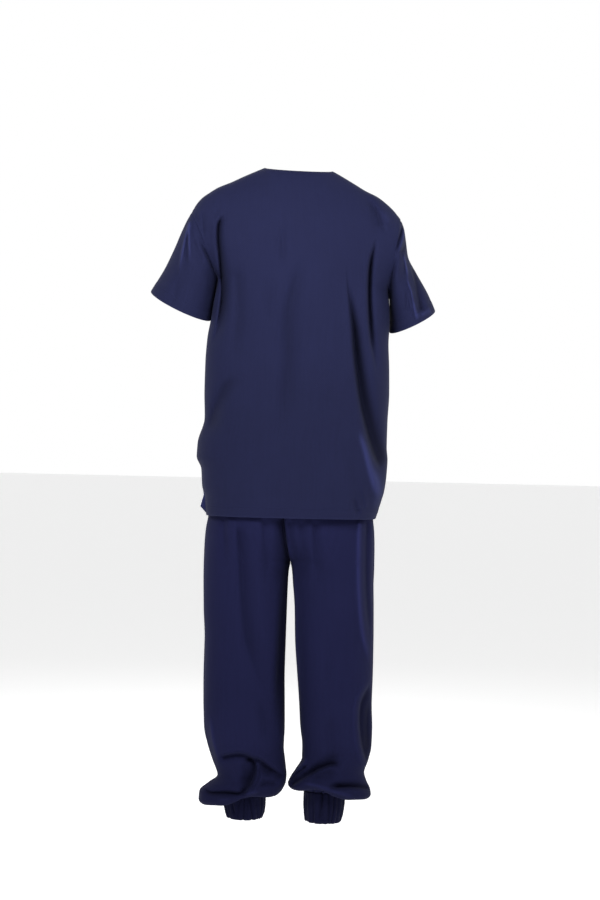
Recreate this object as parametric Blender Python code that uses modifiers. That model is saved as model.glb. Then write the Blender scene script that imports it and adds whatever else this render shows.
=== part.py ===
"""Medical scrub set: short-sleeved top and jogger trousers, held as worn.

Frame: metres, +Z up, the garment faces -Y, +X is the wearer's left.
The origin is the centre of the neck base, level with the shoulder-neck points.
Every panel is an open lofted sheet given its cloth thickness by Solidify.
"""
import bpy
import numpy as np

# ---------------------------------------------------------------- named sizes
CLOTH = 0.0020            # wall of the twill, seam allowances averaged in
GAP = 0.0003              # between sewn pieces
SHOULDER_GAP = 0.0007     # half gap where the two slopes meet at the shoulder
TOP_SIDE_Y = -0.004       # side seams and shoulder tips of the top
TOP_FULL = 2.5            # fullness of the top's cross sections
NECK_SHARE = 0.40         # share of the half width taken by the neck opening
NECK_LEFT = (0.0757, 0.0015)
NECK_RIGHT = (-0.0722, -0.0030)
NECK_BACK_Y = 0.056
NECK_BACK_Z = -0.0110
V_POINT_Y = -0.128
V_POINT_Z = -0.172
ARMPIT_LEFT = (0.1725, -0.2455)
ARMPIT_RIGHT = (-0.1995, -0.2620)
TIP_LEFT = (0.2330, -0.0975)
TIP_RIGHT = (-0.2235, -0.1035)
ARMHOLE_BACK = 0.070
ARMHOLE_FRONT = 0.082
ROUND_OVER = 2.3          # how the back rounds over into the shoulder seam
WAIST_FULL = 2.2
SIDE_GAP = 0.0008         # trouser side seams and inseams, on the middle of the cloth

BLUE_TOP = (0.0250, 0.0291, 0.0815, 1.0)
BLUE_TROUSERS = (0.0182, 0.0200, 0.0600, 1.0)
BLUE_CUFF = (0.0100, 0.0113, 0.0270, 1.0)

# ------------------------------------------------------------------- tables
# The top below the armpits: half outline and depths at each height.
TOP = ("z", "left_b", "left_f", "right_b", "right_f", "back", "front")
TOP_ROWS = [
    (-0.7630, 0.1865, 0.1880, -0.1830, -0.1820, 0.121, -0.137),
    (-0.7440, 0.1880, 0.2010, -0.1895, -0.1880, 0.122, -0.138),
    (-0.7220, 0.1885, 0.1965, -0.1965, -0.1960, 0.123, -0.140),
    (-0.7000, 0.1970, 0.1972, -0.2025, -0.2025, 0.125, -0.141),
    (-0.6600, 0.2000, 0.2000, -0.2070, -0.2070, 0.126, -0.142),
    (-0.6350, 0.2105, 0.2105, -0.2080, -0.2080, 0.125, -0.143),
    (-0.6050, 0.2090, 0.2090, -0.2055, -0.2055, 0.124, -0.143),
    (-0.5500, 0.1950, 0.1950, -0.2060, -0.2060, 0.121, -0.142),
    (-0.4900, 0.1970, 0.1970, -0.2085, -0.2085, 0.118, -0.141),
    (-0.4300, 0.1965, 0.1965, -0.2075, -0.2075, 0.117, -0.141),
    (-0.3740, 0.1930, 0.1930, -0.2050, -0.2050, 0.118, -0.142),
    (-0.3370, 0.1868, 0.1868, -0.2064, -0.2064, 0.119, -0.142),
    (-0.2900, 0.1804, 0.1804, -0.2042, -0.2042, 0.120, -0.141),
    (-0.2400, 0.1725, 0.1725, -0.1995, -0.1995, 0.119, -0.138),
]
# The shoulder slopes, from the neck out to the tip of the armhole.
SLOPE = ("x", "z")
SLOPE_LEFT_ROWS = [
    (0.0757, 0.0015), (0.0890, -0.0040), (0.1210, -0.0180), (0.1480, -0.0310),
    (0.1780, -0.0440), (0.1980, -0.0570), (0.2110, -0.0665), (0.2230, -0.0800),
    (0.2330, -0.0975),
]
SLOPE_RIGHT_ROWS = [
    (0.0722, -0.0030), (0.0880, -0.0110), (0.1010, -0.0180), (0.1240, -0.0310),
    (0.1460, -0.0440), (0.1730, -0.0570), (0.1860, -0.0660), (0.2080, -0.0850),
    (0.2235, -0.1035),
]
# Sleeves: each section runs from its outer to its inner edge; sag lets the
# back half of the section hang lower.
SLEEVE = ("t", "xo", "zo", "xi", "zi", "mid", "back", "front", "sag")
SLEEVE_LEFT_ROWS = [
    (0.00, 0.2345, -0.0992, 0.1755, -0.2490, -0.004, 0.0690, -0.0890, 0.000),
    (0.16, 0.2430, -0.1150, 0.1782, -0.2610, -0.004, 0.0740, -0.0910, 0.001),
    (0.34, 0.2540, -0.1400, 0.1806, -0.2745, -0.005, 0.0760, -0.0930, 0.003),
    (0.54, 0.2690, -0.1780, 0.1824, -0.2905, -0.006, 0.0740, -0.0920, 0.006),
    (0.76, 0.2905, -0.2240, 0.1851, -0.3110, -0.008, 0.0700, -0.0880, 0.009),
    (0.90, 0.3070, -0.2515, 0.1873, -0.3270, -0.009, 0.0670, -0.0850, 0.011),
    (1.00, 0.3205, -0.2740, 0.1883, -0.3340, -0.010, 0.0650, -0.0830, 0.012),
]
SLEEVE_RIGHT_ROWS = [
    (0.00, -0.2248, -0.1055, -0.2025, -0.2660, -0.004, 0.0690, -0.0890, 0.000),
    (0.16, -0.2320, -0.1240, -0.2050, -0.2745, -0.006, 0.0690, -0.0930, 0.001),
    (0.34, -0.2370, -0.1500, -0.2064, -0.2850, -0.012, 0.0640, -0.0970, 0.002),
    (0.54, -0.2432, -0.1840, -0.2069, -0.2980, -0.020, 0.0560, -0.1010, 0.003),
    (0.72, -0.2640, -0.2205, -0.2079, -0.3150, -0.028, 0.0500, -0.1050, 0.004),
    (0.88, -0.2905, -0.2650, -0.2086, -0.3330, -0.034, 0.0450, -0.1080, 0.005),
    (1.00, -0.3072, -0.3010, -0.2088, -0.3530, -0.038, 0.0420, -0.1090, 0.006),
]
LIFT_AT, LIFT_WIDE = -0.45, 0.42   # where the hem of a leg is pulled up, and how widely
# Trouser legs: outer and inner edge, depths, middle of the side seams, and how
# far round the section runs (90 = half of the hips, 180 = a closed leg).
LEG = ("z", "xo", "xi", "drop", "back", "front", "mid", "turn", "full", "rise")
LEG_LEFT_ROWS = [
    (-0.5550, 0.1610, 0.0030, 0.0000, 0.0960, -0.1010, 0.0000, 90.0, 2.2, 0.0000),
    (-0.6200, 0.1720, 0.0060, 0.0000, 0.1060, -0.1080, 0.0000, 90.0, 2.2, 0.0000),
    (-0.6850, 0.1790, 0.0100, 0.0000, 0.1090, -0.1080, 0.0000, 92.0, 2.3, 0.0000),
    (-0.7350, 0.1800, 0.0140, 0.0000, 0.1070, -0.1070, 0.0000, 96.0, 2.1, 0.0000),
    (-0.7650, 0.1820, 0.0160, 0.0000, 0.1050, -0.1070, 0.0000, 102.0, 2.0, 0.0000),
    (-0.7950, 0.1865, 0.0125, 0.0000, 0.1050, -0.1070, 0.0000, 116.0, 2.2, 0.0000),
    (-0.8300, 0.1882, 0.0070, 0.0000, 0.1035, -0.1070, 0.0004, 136.0, 2.2, 0.0000),
    (-0.8560, 0.1886, 0.0025, 0.0000, 0.1015, -0.1070, 0.0009, 158.0, 2.2, 0.0000),
    (-0.8750, 0.1888, 0.0014, 0.0000, 0.1000, -0.1070, 0.0013, 180.0, 2.2, 0.0000),
    (-0.9050, 0.1885, 0.0048, 0.0000, 0.0970, -0.1060, 0.0022, 180.0, 2.2, 0.0000),
    (-0.9680, 0.1870, 0.0070, 0.0000, 0.0930, -0.1040, 0.0034, 180.0, 2.2, 0.0000),
    (-1.0350, 0.1835, 0.0080, 0.0000, 0.0880, -0.1000, 0.0047, 180.0, 2.2, 0.0000),
    (-1.1000, 0.1840, 0.0085, 0.0000, 0.0870, -0.0940, 0.0060, 180.0, 2.2, 0.0000),
    (-1.1660, 0.1835, 0.0070, 0.0000, 0.0890, -0.0860, 0.0078, 180.0, 2.2, 0.0000),
    (-1.2250, 0.1810, 0.0060, 0.0000, 0.0910, -0.0790, 0.0093, 180.0, 2.2, 0.0000),
    (-1.2650, 0.1720, 0.0070, 0.0000, 0.0900, -0.0740, 0.0107, 180.0, 2.2, 0.0000),
    (-1.3000, 0.1600, 0.0030, 0.0000, 0.0850, -0.0680, 0.0125, 180.0, 2.2, 0.0000),
    (-1.3290, 0.1490, -0.0005, 0.0020, 0.0840, -0.0640, 0.0140, 180.0, 2.2, 0.0010),
    (-1.3440, 0.1690, 0.0005, 0.0050, 0.0890, -0.0670, 0.0140, 180.0, 2.2, 0.0030),
    (-1.3570, 0.1875, 0.0055, 0.0100, 0.0920, -0.0700, 0.0140, 180.0, 2.3, 0.0050),
    (-1.3665, 0.1890, 0.0115, 0.0185, 0.0910, -0.0690, 0.0140, 180.0, 2.3, 0.0060),
    (-1.3730, 0.1770, 0.0225, 0.0220, 0.0860, -0.0610, 0.0140, 180.0, 2.2, 0.0070),
    (-1.3720, 0.1560, 0.0355, 0.0180, 0.0760, -0.0480, 0.0140, 180.0, 2.1, 0.0060),
    (-1.3680, 0.1370, 0.0425, 0.0000, 0.0670, -0.0360, 0.0140, 180.0, 2.0, 0.0000),
]
LEG_RIGHT_ROWS = [
    (-0.5550, -0.1610, 0.0030, 0.0000, 0.0960, -0.1010, 0.0000, 90.0, 2.2, 0.0000),
    (-0.6200, -0.1715, 0.0060, 0.0000, 0.1060, -0.1080, 0.0000, 90.0, 2.2, 0.0000),
    (-0.6850, -0.1770, 0.0100, 0.0000, 0.1090, -0.1080, 0.0000, 92.0, 2.3, 0.0000),
    (-0.7350, -0.1770, 0.0140, 0.0000, 0.1070, -0.1070, 0.0000, 96.0, 2.1, 0.0000),
    (-0.7650, -0.1785, 0.0160, 0.0000, 0.1050, -0.1070, 0.0000, 102.0, 2.0, 0.0000),
    (-0.7950, -0.1815, 0.0125, 0.0000, 0.1050, -0.1070, 0.0000, 116.0, 2.2, 0.0000),
    (-0.8300, -0.1826, 0.0070, 0.0000, 0.1035, -0.1070, 0.0004, 136.0, 2.2, 0.0000),
    (-0.8560, -0.1828, 0.0025, 0.0000, 0.1015, -0.1070, 0.0009, 158.0, 2.2, 0.0000),
    (-0.8750, -0.1830, -0.0014, 0.0000, 0.1000, -0.1070, 0.0013, 180.0, 2.2, 0.0000),
    (-0.9050, -0.1825, -0.0067, 0.0000, 0.0970, -0.1060, 0.0022, 180.0, 2.2, 0.0000),
    (-0.9600, -0.1845, -0.0130, 0.0000, 0.0930, -0.1040, 0.0034, 180.0, 2.2, 0.0000),
    (-1.0350, -0.1860, -0.0160, 0.0000, 0.0880, -0.1000, 0.0047, 180.0, 2.2, 0.0000),
    (-1.1000, -0.1860, -0.0215, 0.0000, 0.0870, -0.0940, 0.0060, 180.0, 2.2, 0.0000),
    (-1.1660, -0.1850, -0.0280, 0.0000, 0.0890, -0.0860, 0.0078, 180.0, 2.2, 0.0000),
    (-1.2200, -0.1870, -0.0320, 0.0000, 0.0890, -0.0790, 0.0092, 180.0, 2.2, 0.0000),
    (-1.2600, -0.1860, -0.0365, 0.0000, 0.0870, -0.0740, 0.0105, 180.0, 2.2, 0.0000),
    (-1.2900, -0.1800, -0.0365, 0.0000, 0.0830, -0.0690, 0.0120, 180.0, 2.2, 0.0000),
    (-1.3170, -0.1710, -0.0230, 0.0010, 0.0830, -0.0650, 0.0140, 180.0, 2.2, 0.0010),
    (-1.3330, -0.1760, -0.0130, 0.0030, 0.0880, -0.0680, 0.0140, 180.0, 2.2, 0.0040),
    (-1.3480, -0.1850, -0.0068, 0.0070, 0.0910, -0.0700, 0.0140, 180.0, 2.3, 0.0080),
    (-1.3560, -0.1868, -0.0110, 0.0110, 0.0890, -0.0690, 0.0140, 180.0, 2.3, 0.0110),
    (-1.3590, -0.1780, -0.0230, 0.0160, 0.0840, -0.0610, 0.0140, 180.0, 2.2, 0.0125),
    (-1.3580, -0.1560, -0.0340, 0.0170, 0.0750, -0.0480, 0.0140, 180.0, 2.1, 0.0115),
    (-1.3575, -0.1330, -0.0400, 0.0000, 0.0670, -0.0360, 0.0140, 180.0, 2.0, 0.0000),
]
# Rings of the waistband and the ankle cuffs.
RING = ("z", "xo", "xi", "back", "front")
WAIST_ROWS = [
    (-0.5150, 0.1570, -0.1570, 0.0930, -0.0980),
    (-0.5350, 0.1590, -0.1590, 0.0945, -0.0995),
    (-0.5532, 0.1610, -0.1610, 0.0960, -0.1010),
]
CUFF_LEFT_ROWS = [
    (-1.3710, 0.1352, 0.0430, 0.0655, -0.0345),
    (-1.3900, 0.1355, 0.0425, 0.0660, -0.0350),
    (-1.4090, 0.1320, 0.0435, 0.0650, -0.0345),
    (-1.4225, 0.1275, 0.0480, 0.0620, -0.0310),
]
CUFF_RIGHT_ROWS = [
    (-1.3597, -0.1315, -0.0405, 0.0655, -0.0345),
    (-1.3850, -0.1310, -0.0400, 0.0660, -0.0350),
    (-1.4080, -0.1285, -0.0415, 0.0650, -0.0345),
    (-1.4270, -0.1235, -0.0440, 0.0620, -0.0310),
]
# Largest folds: a line of (x, z) stations, depth (troughs positive), width.
TOP_BACK_FOLDS = [
    ("under left arm", 0.0085, 0.0140, [(0.160, -0.110), (0.170, -0.175), (0.167, -0.235), (0.162, -0.300), (0.168, -0.345), (0.178, -0.385)]),
    ("right, by the arm", 0.0060, 0.0110, [(-0.163, -0.165), (-0.155, -0.235), (-0.157, -0.320), (-0.166, -0.380), (-0.179, -0.460)]),
    ("right, long", 0.0125, 0.0190, [(-0.112, -0.230), (-0.120, -0.325), (-0.128, -0.400), (-0.144, -0.500), (-0.166, -0.575), (-0.190, -0.640), (-0.203, -0.670)]),
    ("right hem ridge", -0.0055, 0.0130, [(-0.146, -0.560), (-0.166, -0.640), (-0.184, -0.700)]),
    ("centre", 0.0035, 0.0240, [(-0.014, -0.190), (0.000, -0.280), (0.012, -0.380), (0.020, -0.540), (0.045, -0.668)]),
    ("left, low", 0.0050, 0.0230, [(0.126, -0.455), (0.160, -0.512), (0.178, -0.588)]),
]
TOP_FRONT_FOLDS = [
    ("left chest", 0.0070, 0.0180, [(0.120, -0.230), (0.130, -0.360), (0.150, -0.500), (0.172, -0.620)]),
    ("right chest", 0.0070, 0.0180, [(-0.118, -0.220), (-0.128, -0.350), (-0.150, -0.480), (-0.178, -0.610)]),
    ("middle", 0.0050, 0.0260, [(0.020, -0.300), (-0.010, -0.420), (-0.025, -0.600), (-0.050, -0.740)]),
]
LEG_LEFT_FOLDS = [
    ("seat", 0.0060, 0.0210, [(0.117, -0.790), (0.101, -0.855), (0.091, -0.920), (0.082, -1.030), (0.060, -1.095)]),
    ("calf", 0.0045, 0.0200, [(0.135, -1.130), (0.120, -1.210), (0.098, -1.280)]),
]
LEG_RIGHT_FOLDS = [
    ("side ridge", -0.0060, 0.0110, [(-0.149, -0.790), (-0.150, -0.905), (-0.159, -1.000), (-0.170, -1.060)]),
    ("side hollow", 0.0100, 0.0130, [(-0.176, -1.130), (-0.163, -1.183), (-0.161, -1.225), (-0.168, -1.285)]),
    ("seat", 0.0040, 0.0200, [(-0.052, -0.790), (-0.060, -0.900), (-0.075, -1.000)]),
]


# ------------------------------------------------------------------ functions
def curve(xs, ys):
    """Monotone cubic through the stations of a table's column."""
    xs = np.asarray(xs, float)
    ys = np.asarray(ys, float)
    if xs[0] > xs[-1]:
        xs, ys = xs[::-1], ys[::-1]
    h = np.diff(xs)
    d = np.diff(ys) / h
    m = np.zeros(len(xs))
    m[0], m[-1] = d[0], d[-1]
    for i in range(1, len(xs) - 1):
        if d[i - 1] * d[i] > 0:
            w1, w2 = 2 * h[i] + h[i - 1], h[i] + 2 * h[i - 1]
            m[i] = (w1 + w2) / (w1 / d[i - 1] + w2 / d[i])

    def at(x):
        x = np.clip(np.asarray(x, float), xs[0], xs[-1])
        k = np.clip(np.searchsorted(xs, x) - 1, 0, len(xs) - 2)
        t = (x - xs[k]) / h[k]
        return (ys[k] * (1 + 2 * t) * (1 - t) ** 2 + m[k] * h[k] * t * (1 - t) ** 2
                + ys[k + 1] * t * t * (3 - 2 * t) + m[k + 1] * h[k] * t * t * (t - 1))
    return at


def columns(names, rows, key=None):
    """Turn a table into one curve per named column, along `key` or its row count."""
    data = np.array(rows, float)
    along = np.arange(len(rows), dtype=float) if key is None else data[:, names.index(key)]
    return {name: curve(along, data[:, i]) for i, name in enumerate(names)}


def arc(phi, full):
    """Cosine and sine of a fuller-than-round section."""
    c, s = np.cos(phi), np.sin(phi)
    return np.sign(c) * np.abs(c) ** (2 / full), np.abs(s) ** (2 / full)


def grid_normals(p, closed=False):
    if closed:
        across = np.roll(p, -1, 1) - np.roll(p, 1, 1)
    else:
        across = np.gradient(p, axis=1)
    along = np.gradient(p, axis=0)
    n = np.cross(across, along)
    return n / np.maximum(np.linalg.norm(n, axis=2, keepdims=True), 1e-9)


def folded(p, folds, outward, closed=False):
    """Press the troughs and lift the ridges of `folds` into a sheet's points."""
    n = grid_normals(p, closed)
    facing = np.einsum("ijk,k->ij", n, np.array(outward, float))
    n = n * np.sign(np.mean(facing))
    side = np.clip(np.einsum("ijk,k->ij", n, np.array(outward, float)) * 2.5, 0, 1)
    move = np.zeros(p.shape[:2])
    for name, depth, width, line in folds:
        zs = [q[1] for q in line]
        path = curve(zs, [q[0] for q in line])
        z = p[..., 2]
        top, low = max(zs), min(zs)
        slope = (path(z - 0.01) - path(z + 0.01)) / 0.02
        off = (p[..., 0] - path(z)) / np.sqrt(1 + slope ** 2)
        fade = 0.22 * (top - low) + 0.01
        ends = np.clip((top + 0.01 - z) / fade, 0, 1) * np.clip((z - low + 0.02) / fade, 0, 1)
        ends = ends * ends * (3 - 2 * ends)
        move -= depth * ends * np.exp(-(off / width) ** 2)
    return p + n * (move * side)[..., None]


def sheet(name, p, colour, closed=False, thick=CLOTH):
    """Loft a grid of points into an open sheet and give it its thickness."""
    rows, cols = p.shape[:2]
    faces = []
    for i in range(rows - 1):
        for j in range(cols if closed else cols - 1):
            k = (j + 1) % cols
            faces.append((i * cols + j, i * cols + k, (i + 1) * cols + k, (i + 1) * cols + j))
    mesh = bpy.data.meshes.new(name)
    mesh.from_pydata([tuple(v) for v in p.reshape(-1, 3)], [], faces)
    mesh.update()
    obj = bpy.data.objects.new(name, mesh)
    garment.objects.link(obj)
    shell = obj.modifiers.new("cloth", "SOLIDIFY")
    shell.thickness = thick
    shell.offset = 0.0
    mat = bpy.data.materials.new(name)
    mat.use_nodes = True
    bsdf = mat.node_tree.nodes["Principled BSDF"]
    bsdf.inputs["Base Color"].default_value = colour
    bsdf.inputs["Roughness"].default_value = 0.85
    bsdf.inputs["Metallic"].default_value = 0.0
    mesh.materials.append(mat)
    for poly in mesh.polygons:
        poly.use_smooth = True
    return obj


# ------------------------------------------------------------------ the top
def neck_angle():
    return np.arccos(NECK_SHARE ** (TOP_FULL / 2))


def top_line(phi, back):
    """Shoulder seam, neck edge, shoulder seam, from the left tip to the right."""
    c, s = arc(phi, TOP_FULL)
    slope_l = curve(*zip(*SLOPE_LEFT_ROWS))
    slope_r = curve(*zip(*SLOPE_RIGHT_ROWS))
    out = np.zeros((len(phi), 3))
    for j, cj in enumerate(c):
        if abs(cj) >= NECK_SHARE - 1e-9:
            k = (abs(cj) - NECK_SHARE) / (1 - NECK_SHARE)
            if cj > 0:
                x = NECK_LEFT[0] + (TIP_LEFT[0] - NECK_LEFT[0]) * k
                z = slope_l(x)
            else:
                x = -(-NECK_RIGHT[0] + (NECK_RIGHT[0] - TIP_RIGHT[0]) * k)
                z = slope_r(-x)
            y = TOP_SIDE_Y * k + (SHOULDER_GAP if back else -SHOULDER_GAP)
        else:
            u = cj / NECK_SHARE
            x = NECK_LEFT[0] * (1 + u) / 2 + NECK_RIGHT[0] * (1 - u) / 2
            zn = NECK_LEFT[1] * (1 + u) / 2 + NECK_RIGHT[1] * (1 - u) / 2
            if back:
                bow = (1 - abs(u) ** 2.2) ** (1 / 2.2)
                y = SHOULDER_GAP + (NECK_BACK_Y - SHOULDER_GAP) * bow
                z = zn + (NECK_BACK_Z + 0.0007) * bow
            else:
                deep = (1 - abs(u)) ** 0.94
                z = zn + (V_POINT_Z - zn) * deep
                y = -SHOULDER_GAP + (V_POINT_Y + SHOULDER_GAP) * (1 - (1 - deep) ** 2.2) ** (1 / 2.2)
        out[j] = (x, y, z)
    return out


def top_panel(back, phi, low_rows, taus):
    """Grid of the front or back panel: straight rows up to the armpits, then
    rows that fan out to the shoulder line."""
    t = columns(TOP, TOP_ROWS, "z")
    tag = "_b" if back else "_f"
    way = 1.0 if back else -1.0
    depth = t["back"] if back else t["front"]
    c, s = arc(phi, TOP_FULL)
    grid = []
    for z in low_rows:
        left, right = t["left" + tag](z), t["right" + tag](z)
        mid, half = (left + right) / 2, (left - right) / 2
        y = TOP_SIDE_Y + way * GAP / 2 + (depth(z) - TOP_SIDE_Y - way * GAP / 2) * s
        zz = np.full(len(phi), float(z))
        if not back:
            zz = zz + 0.012 * np.clip((c - 0.90) / 0.1, 0, 1) * np.clip((-0.735 - z) / 0.028, 0, 1)
        grid.append(np.stack([mid + half * c, y, zz], 1))
    base_z = (ARMPIT_LEFT[1] * (1 + c) + ARMPIT_RIGHT[1] * (1 - c)) / 2
    base_x = (ARMPIT_LEFT[0] * (1 + c) + ARMPIT_RIGHT[0] * (1 - c)) / 2
    top = top_line(phi, back)
    hole = ARMHOLE_BACK if back else ARMHOLE_FRONT
    for tau in taus:
        h = np.sqrt(max(1 - tau ** ROUND_OVER, 0.0))
        x = base_x + (top[:, 0] - base_x) * tau
        z = base_z + (top[:, 2] - base_z) * tau
        edge = 2 * hole * np.sqrt(max(tau * (1 - tau), 0.0))
        full = abs(depth(base_z) - TOP_SIDE_Y)
        hug = (1 - s) ** (1.4 + 1.2 * (1 - tau) ** 2)
        y = (top[:, 1] - TOP_SIDE_Y) * way * (1 - h) + edge * hug + full * h * s
        y = np.maximum(y, GAP / 2)
        grid.append(np.stack([x, TOP_SIDE_Y + way * y, z], 1))
    return np.array(grid)


def sleeve_tube(rows, ts, count):
    """Rings from the armhole to the sleeve hem."""
    t = columns(SLEEVE, rows, "t")
    phi = np.linspace(0, 2 * np.pi, count, endpoint=False)
    grid = []
    for v in ts:
        q = {k: f(v) for k, f in t.items()}
        c, s = np.cos(phi), np.sin(phi)
        x = (q["xo"] + q["xi"]) / 2 + (q["xo"] - q["xi"]) / 2 * c
        z = (q["zo"] + q["zi"]) / 2 + (q["zo"] - q["zi"]) / 2 * c
        y = q["mid"] + np.where(s > 0, (q["back"] - q["mid"]) * s, (q["mid"] - q["front"]) * s)
        z = z - q["sag"] * np.clip(s, 0, 1)
        grid.append(np.stack([x, y, z], 1))
    return np.array(grid)


# --------------------------------------------------------------- the trousers
def leg_panel(rows, back, steps, share):
    """Grid of one leg panel, from its side seam round to the inseam; above the
    crotch it ends at the centre seam instead."""
    t = columns(LEG, rows)
    way = 1.0 if back else -1.0
    outer = 1.0 if rows[0][1] > 0 else -1.0
    grid = []
    for v in steps:
        q = {k: f(v) for k, f in t.items()}
        turn = np.radians(q["turn"])
        c, s = arc(share * turn, q["full"])
        c_end = c[-1]
        part = np.clip((q["turn"] - 90.0) / 45.0, 0, 1)
        xi = q["xi"] + outer * (GAP / 2 + (CLOTH / 2 + 0.0001) * part) if q["turn"] < 179.9 else q["xi"]
        mid = (xi - q["xo"] * c_end) / (1 - c_end)
        depth = q["back"] if back else q["front"]
        seam = q["mid"] + way * SIDE_GAP / 2
        y = seam + (depth - seam) * s
        sag = np.clip((c + 0.25) / 0.8, 0, 1)
        sag = 0.7 * sag * sag * (3 - 2 * sag) + 0.3 * np.clip((c - 0.5) / 0.5, 0, 1) ** 2
        lifted = np.exp(-((c - LIFT_AT) / LIFT_WIDE) ** 2) * s
        z = q["z"] - q["drop"] * sag + q["rise"] * lifted
        grid.append(np.stack([mid + (q["xo"] - mid) * c, y, z], 1))
    return np.array(grid)


def ring_band(rows, steps, count, full, gather=0.0, pleats=0):
    t = columns(RING, rows)
    phi = np.linspace(0, 2 * np.pi, count, endpoint=False)
    grid = []
    for v in steps:
        q = {k: f(v) for k, f in t.items()}
        c, s = arc(phi, full)
        s = s * np.sign(np.sin(phi))
        ripple = 1 + gather * np.cos(pleats * phi)
        mx, hx = (q["xo"] + q["xi"]) / 2, (q["xo"] - q["xi"]) / 2
        my, hy = (q["back"] + q["front"]) / 2, (q["back"] - q["front"]) / 2
        grid.append(np.stack([mx + hx * c * ripple, my + hy * s * ripple,
                              np.full(count, float(q["z"]))], 1))
    return np.array(grid)


# ------------------------------------------------------------------- building
for old in list(bpy.data.objects):
    bpy.data.objects.remove(old, do_unlink=True)
garment = bpy.data.collections.new("medical_scrubs")
bpy.context.scene.collection.children.link(garment)

nk = neck_angle()
BACK_ANGLES = np.concatenate([np.linspace(0.035, nk, 10)[:-1] * 1.0,
                              np.linspace(nk, np.pi - nk, 11)[:-1],
                              np.linspace(np.pi - nk, np.pi - 0.035, 10)])
BACK_ANGLES[0], BACK_ANGLES[-1] = 0.0, np.pi
FRONT_ANGLES = np.concatenate([np.linspace(0.0, nk, 7)[:-1],
                               np.linspace(nk, np.pi - nk, 9)[:-1],
                               np.linspace(np.pi - nk, np.pi, 7)])
BACK_LOW = [-0.7630, -0.7300, -0.7000, -0.6700, -0.6400, -0.6080, -0.5750, -0.5400,
            -0.5000, -0.4600, -0.4200, -0.3800, -0.3450, -0.3150, -0.2850]
FRONT_LOW = [-0.7630, -0.7420, -0.7050, -0.6650, -0.6350, -0.6000, -0.5400, -0.4700,
             -0.4000, -0.3400, -0.2850]
BACK_TAUS = (1 - np.cos(np.pi * np.arange(9) / 8)) / 2
FRONT_TAUS = (1 - np.cos(np.pi * np.arange(8) / 7)) / 2

back = top_panel(True, BACK_ANGLES, BACK_LOW, BACK_TAUS)
sheet("top_back", folded(back, TOP_BACK_FOLDS, (0, 1, 0)), BLUE_TOP)
front = top_panel(False, FRONT_ANGLES, FRONT_LOW, FRONT_TAUS)
sheet("top_front", folded(front, TOP_FRONT_FOLDS, (0, -1, 0)), BLUE_TOP)

SLEEVE_STEPS = np.array([0.0, 0.16, 0.34, 0.54, 0.76, 0.90, 1.0])
sheet("sleeve_left", sleeve_tube(SLEEVE_LEFT_ROWS, SLEEVE_STEPS, 20), BLUE_TOP, closed=True)
sheet("sleeve_right", sleeve_tube(SLEEVE_RIGHT_ROWS, SLEEVE_STEPS, 20), BLUE_TOP, closed=True)

LEG_STEPS = np.arange(len(LEG_LEFT_ROWS), dtype=float)
LEG_SHARE = np.linspace(0, 1, 8)
for side, rows, folds in (("left", LEG_LEFT_ROWS, LEG_LEFT_FOLDS),
                          ("right", LEG_RIGHT_ROWS, LEG_RIGHT_FOLDS)):
    p = leg_panel(rows, True, LEG_STEPS, LEG_SHARE)
    sheet("trouser_back_" + side, folded(p, folds, (0, 1, 0)), BLUE_TROUSERS)
    p = leg_panel(rows, False, LEG_STEPS, LEG_SHARE)
    sheet("trouser_front_" + side, p, BLUE_TROUSERS)

sheet("waistband", ring_band(WAIST_ROWS, [0, 1, 2], 28, WAIST_FULL), BLUE_TROUSERS, closed=True)
sheet("ankle_cuff_left", ring_band(CUFF_LEFT_ROWS, [0, 1, 2, 3], 24, 2.0), BLUE_CUFF, closed=True)
sheet("ankle_cuff_right", ring_band(CUFF_RIGHT_ROWS, [0, 1, 2, 3], 24, 2.0), BLUE_CUFF, closed=True)
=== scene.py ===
"""Looks of the medical scrub set: every panel is a thin sheet of twill laid on
its solid's form, with its creases, hems, seams and stitches."""
import bpy
import math
import numpy as np
from mathutils import Matrix, Vector


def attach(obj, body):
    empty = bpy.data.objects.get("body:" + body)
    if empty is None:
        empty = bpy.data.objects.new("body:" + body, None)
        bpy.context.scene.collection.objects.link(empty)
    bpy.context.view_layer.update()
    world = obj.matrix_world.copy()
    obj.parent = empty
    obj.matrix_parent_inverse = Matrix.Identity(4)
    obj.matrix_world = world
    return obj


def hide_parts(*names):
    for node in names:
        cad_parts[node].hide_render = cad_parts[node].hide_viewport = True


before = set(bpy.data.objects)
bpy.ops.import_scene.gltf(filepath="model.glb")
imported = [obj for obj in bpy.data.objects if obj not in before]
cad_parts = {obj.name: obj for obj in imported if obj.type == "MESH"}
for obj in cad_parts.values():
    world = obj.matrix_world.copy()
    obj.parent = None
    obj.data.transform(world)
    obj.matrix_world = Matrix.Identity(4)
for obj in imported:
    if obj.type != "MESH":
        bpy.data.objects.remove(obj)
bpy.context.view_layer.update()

# ---------------------------------------------------------------- named sizes
CLOTH = 0.0013            # what one layer of twill with its finish shows
SEAM = 0.0003             # between sewn pieces
HEM_TOP = 0.022           # depth of the turned hems
HEM_SLEEVE = 0.024
HEM_NECK = 0.008
STITCH = 0.0026           # length of a stitch, and the gap between two
STITCH_GAP = 0.0011
TOP_SIDE_Y = -0.004
TOP_FULL = 2.5
NECK_SHARE = 0.40
NECK_LEFT = (0.0757, 0.0015)
NECK_RIGHT = (-0.0722, -0.0030)
NECK_BACK_Y = 0.056
NECK_BACK_Z = -0.0110
V_POINT_Y = -0.128
VENT = (-0.6980, -0.7630) # the left side vent, from its top to the hem
FLARE = 0.020             # how much of the front's edge turns out there
FLARE_EASE = 0.085        # where it runs back into the plain front
CORNER_RISE = 0.0185      # how far its corner hangs above the hem
CROTCH_Z = (-0.8630, -0.8500, -0.8280, -0.7950)   # the centre seam, going up
CROTCH_X = (0.0000, 0.0025, 0.0070, 0.0125)
V_POINT_Z = -0.172
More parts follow.
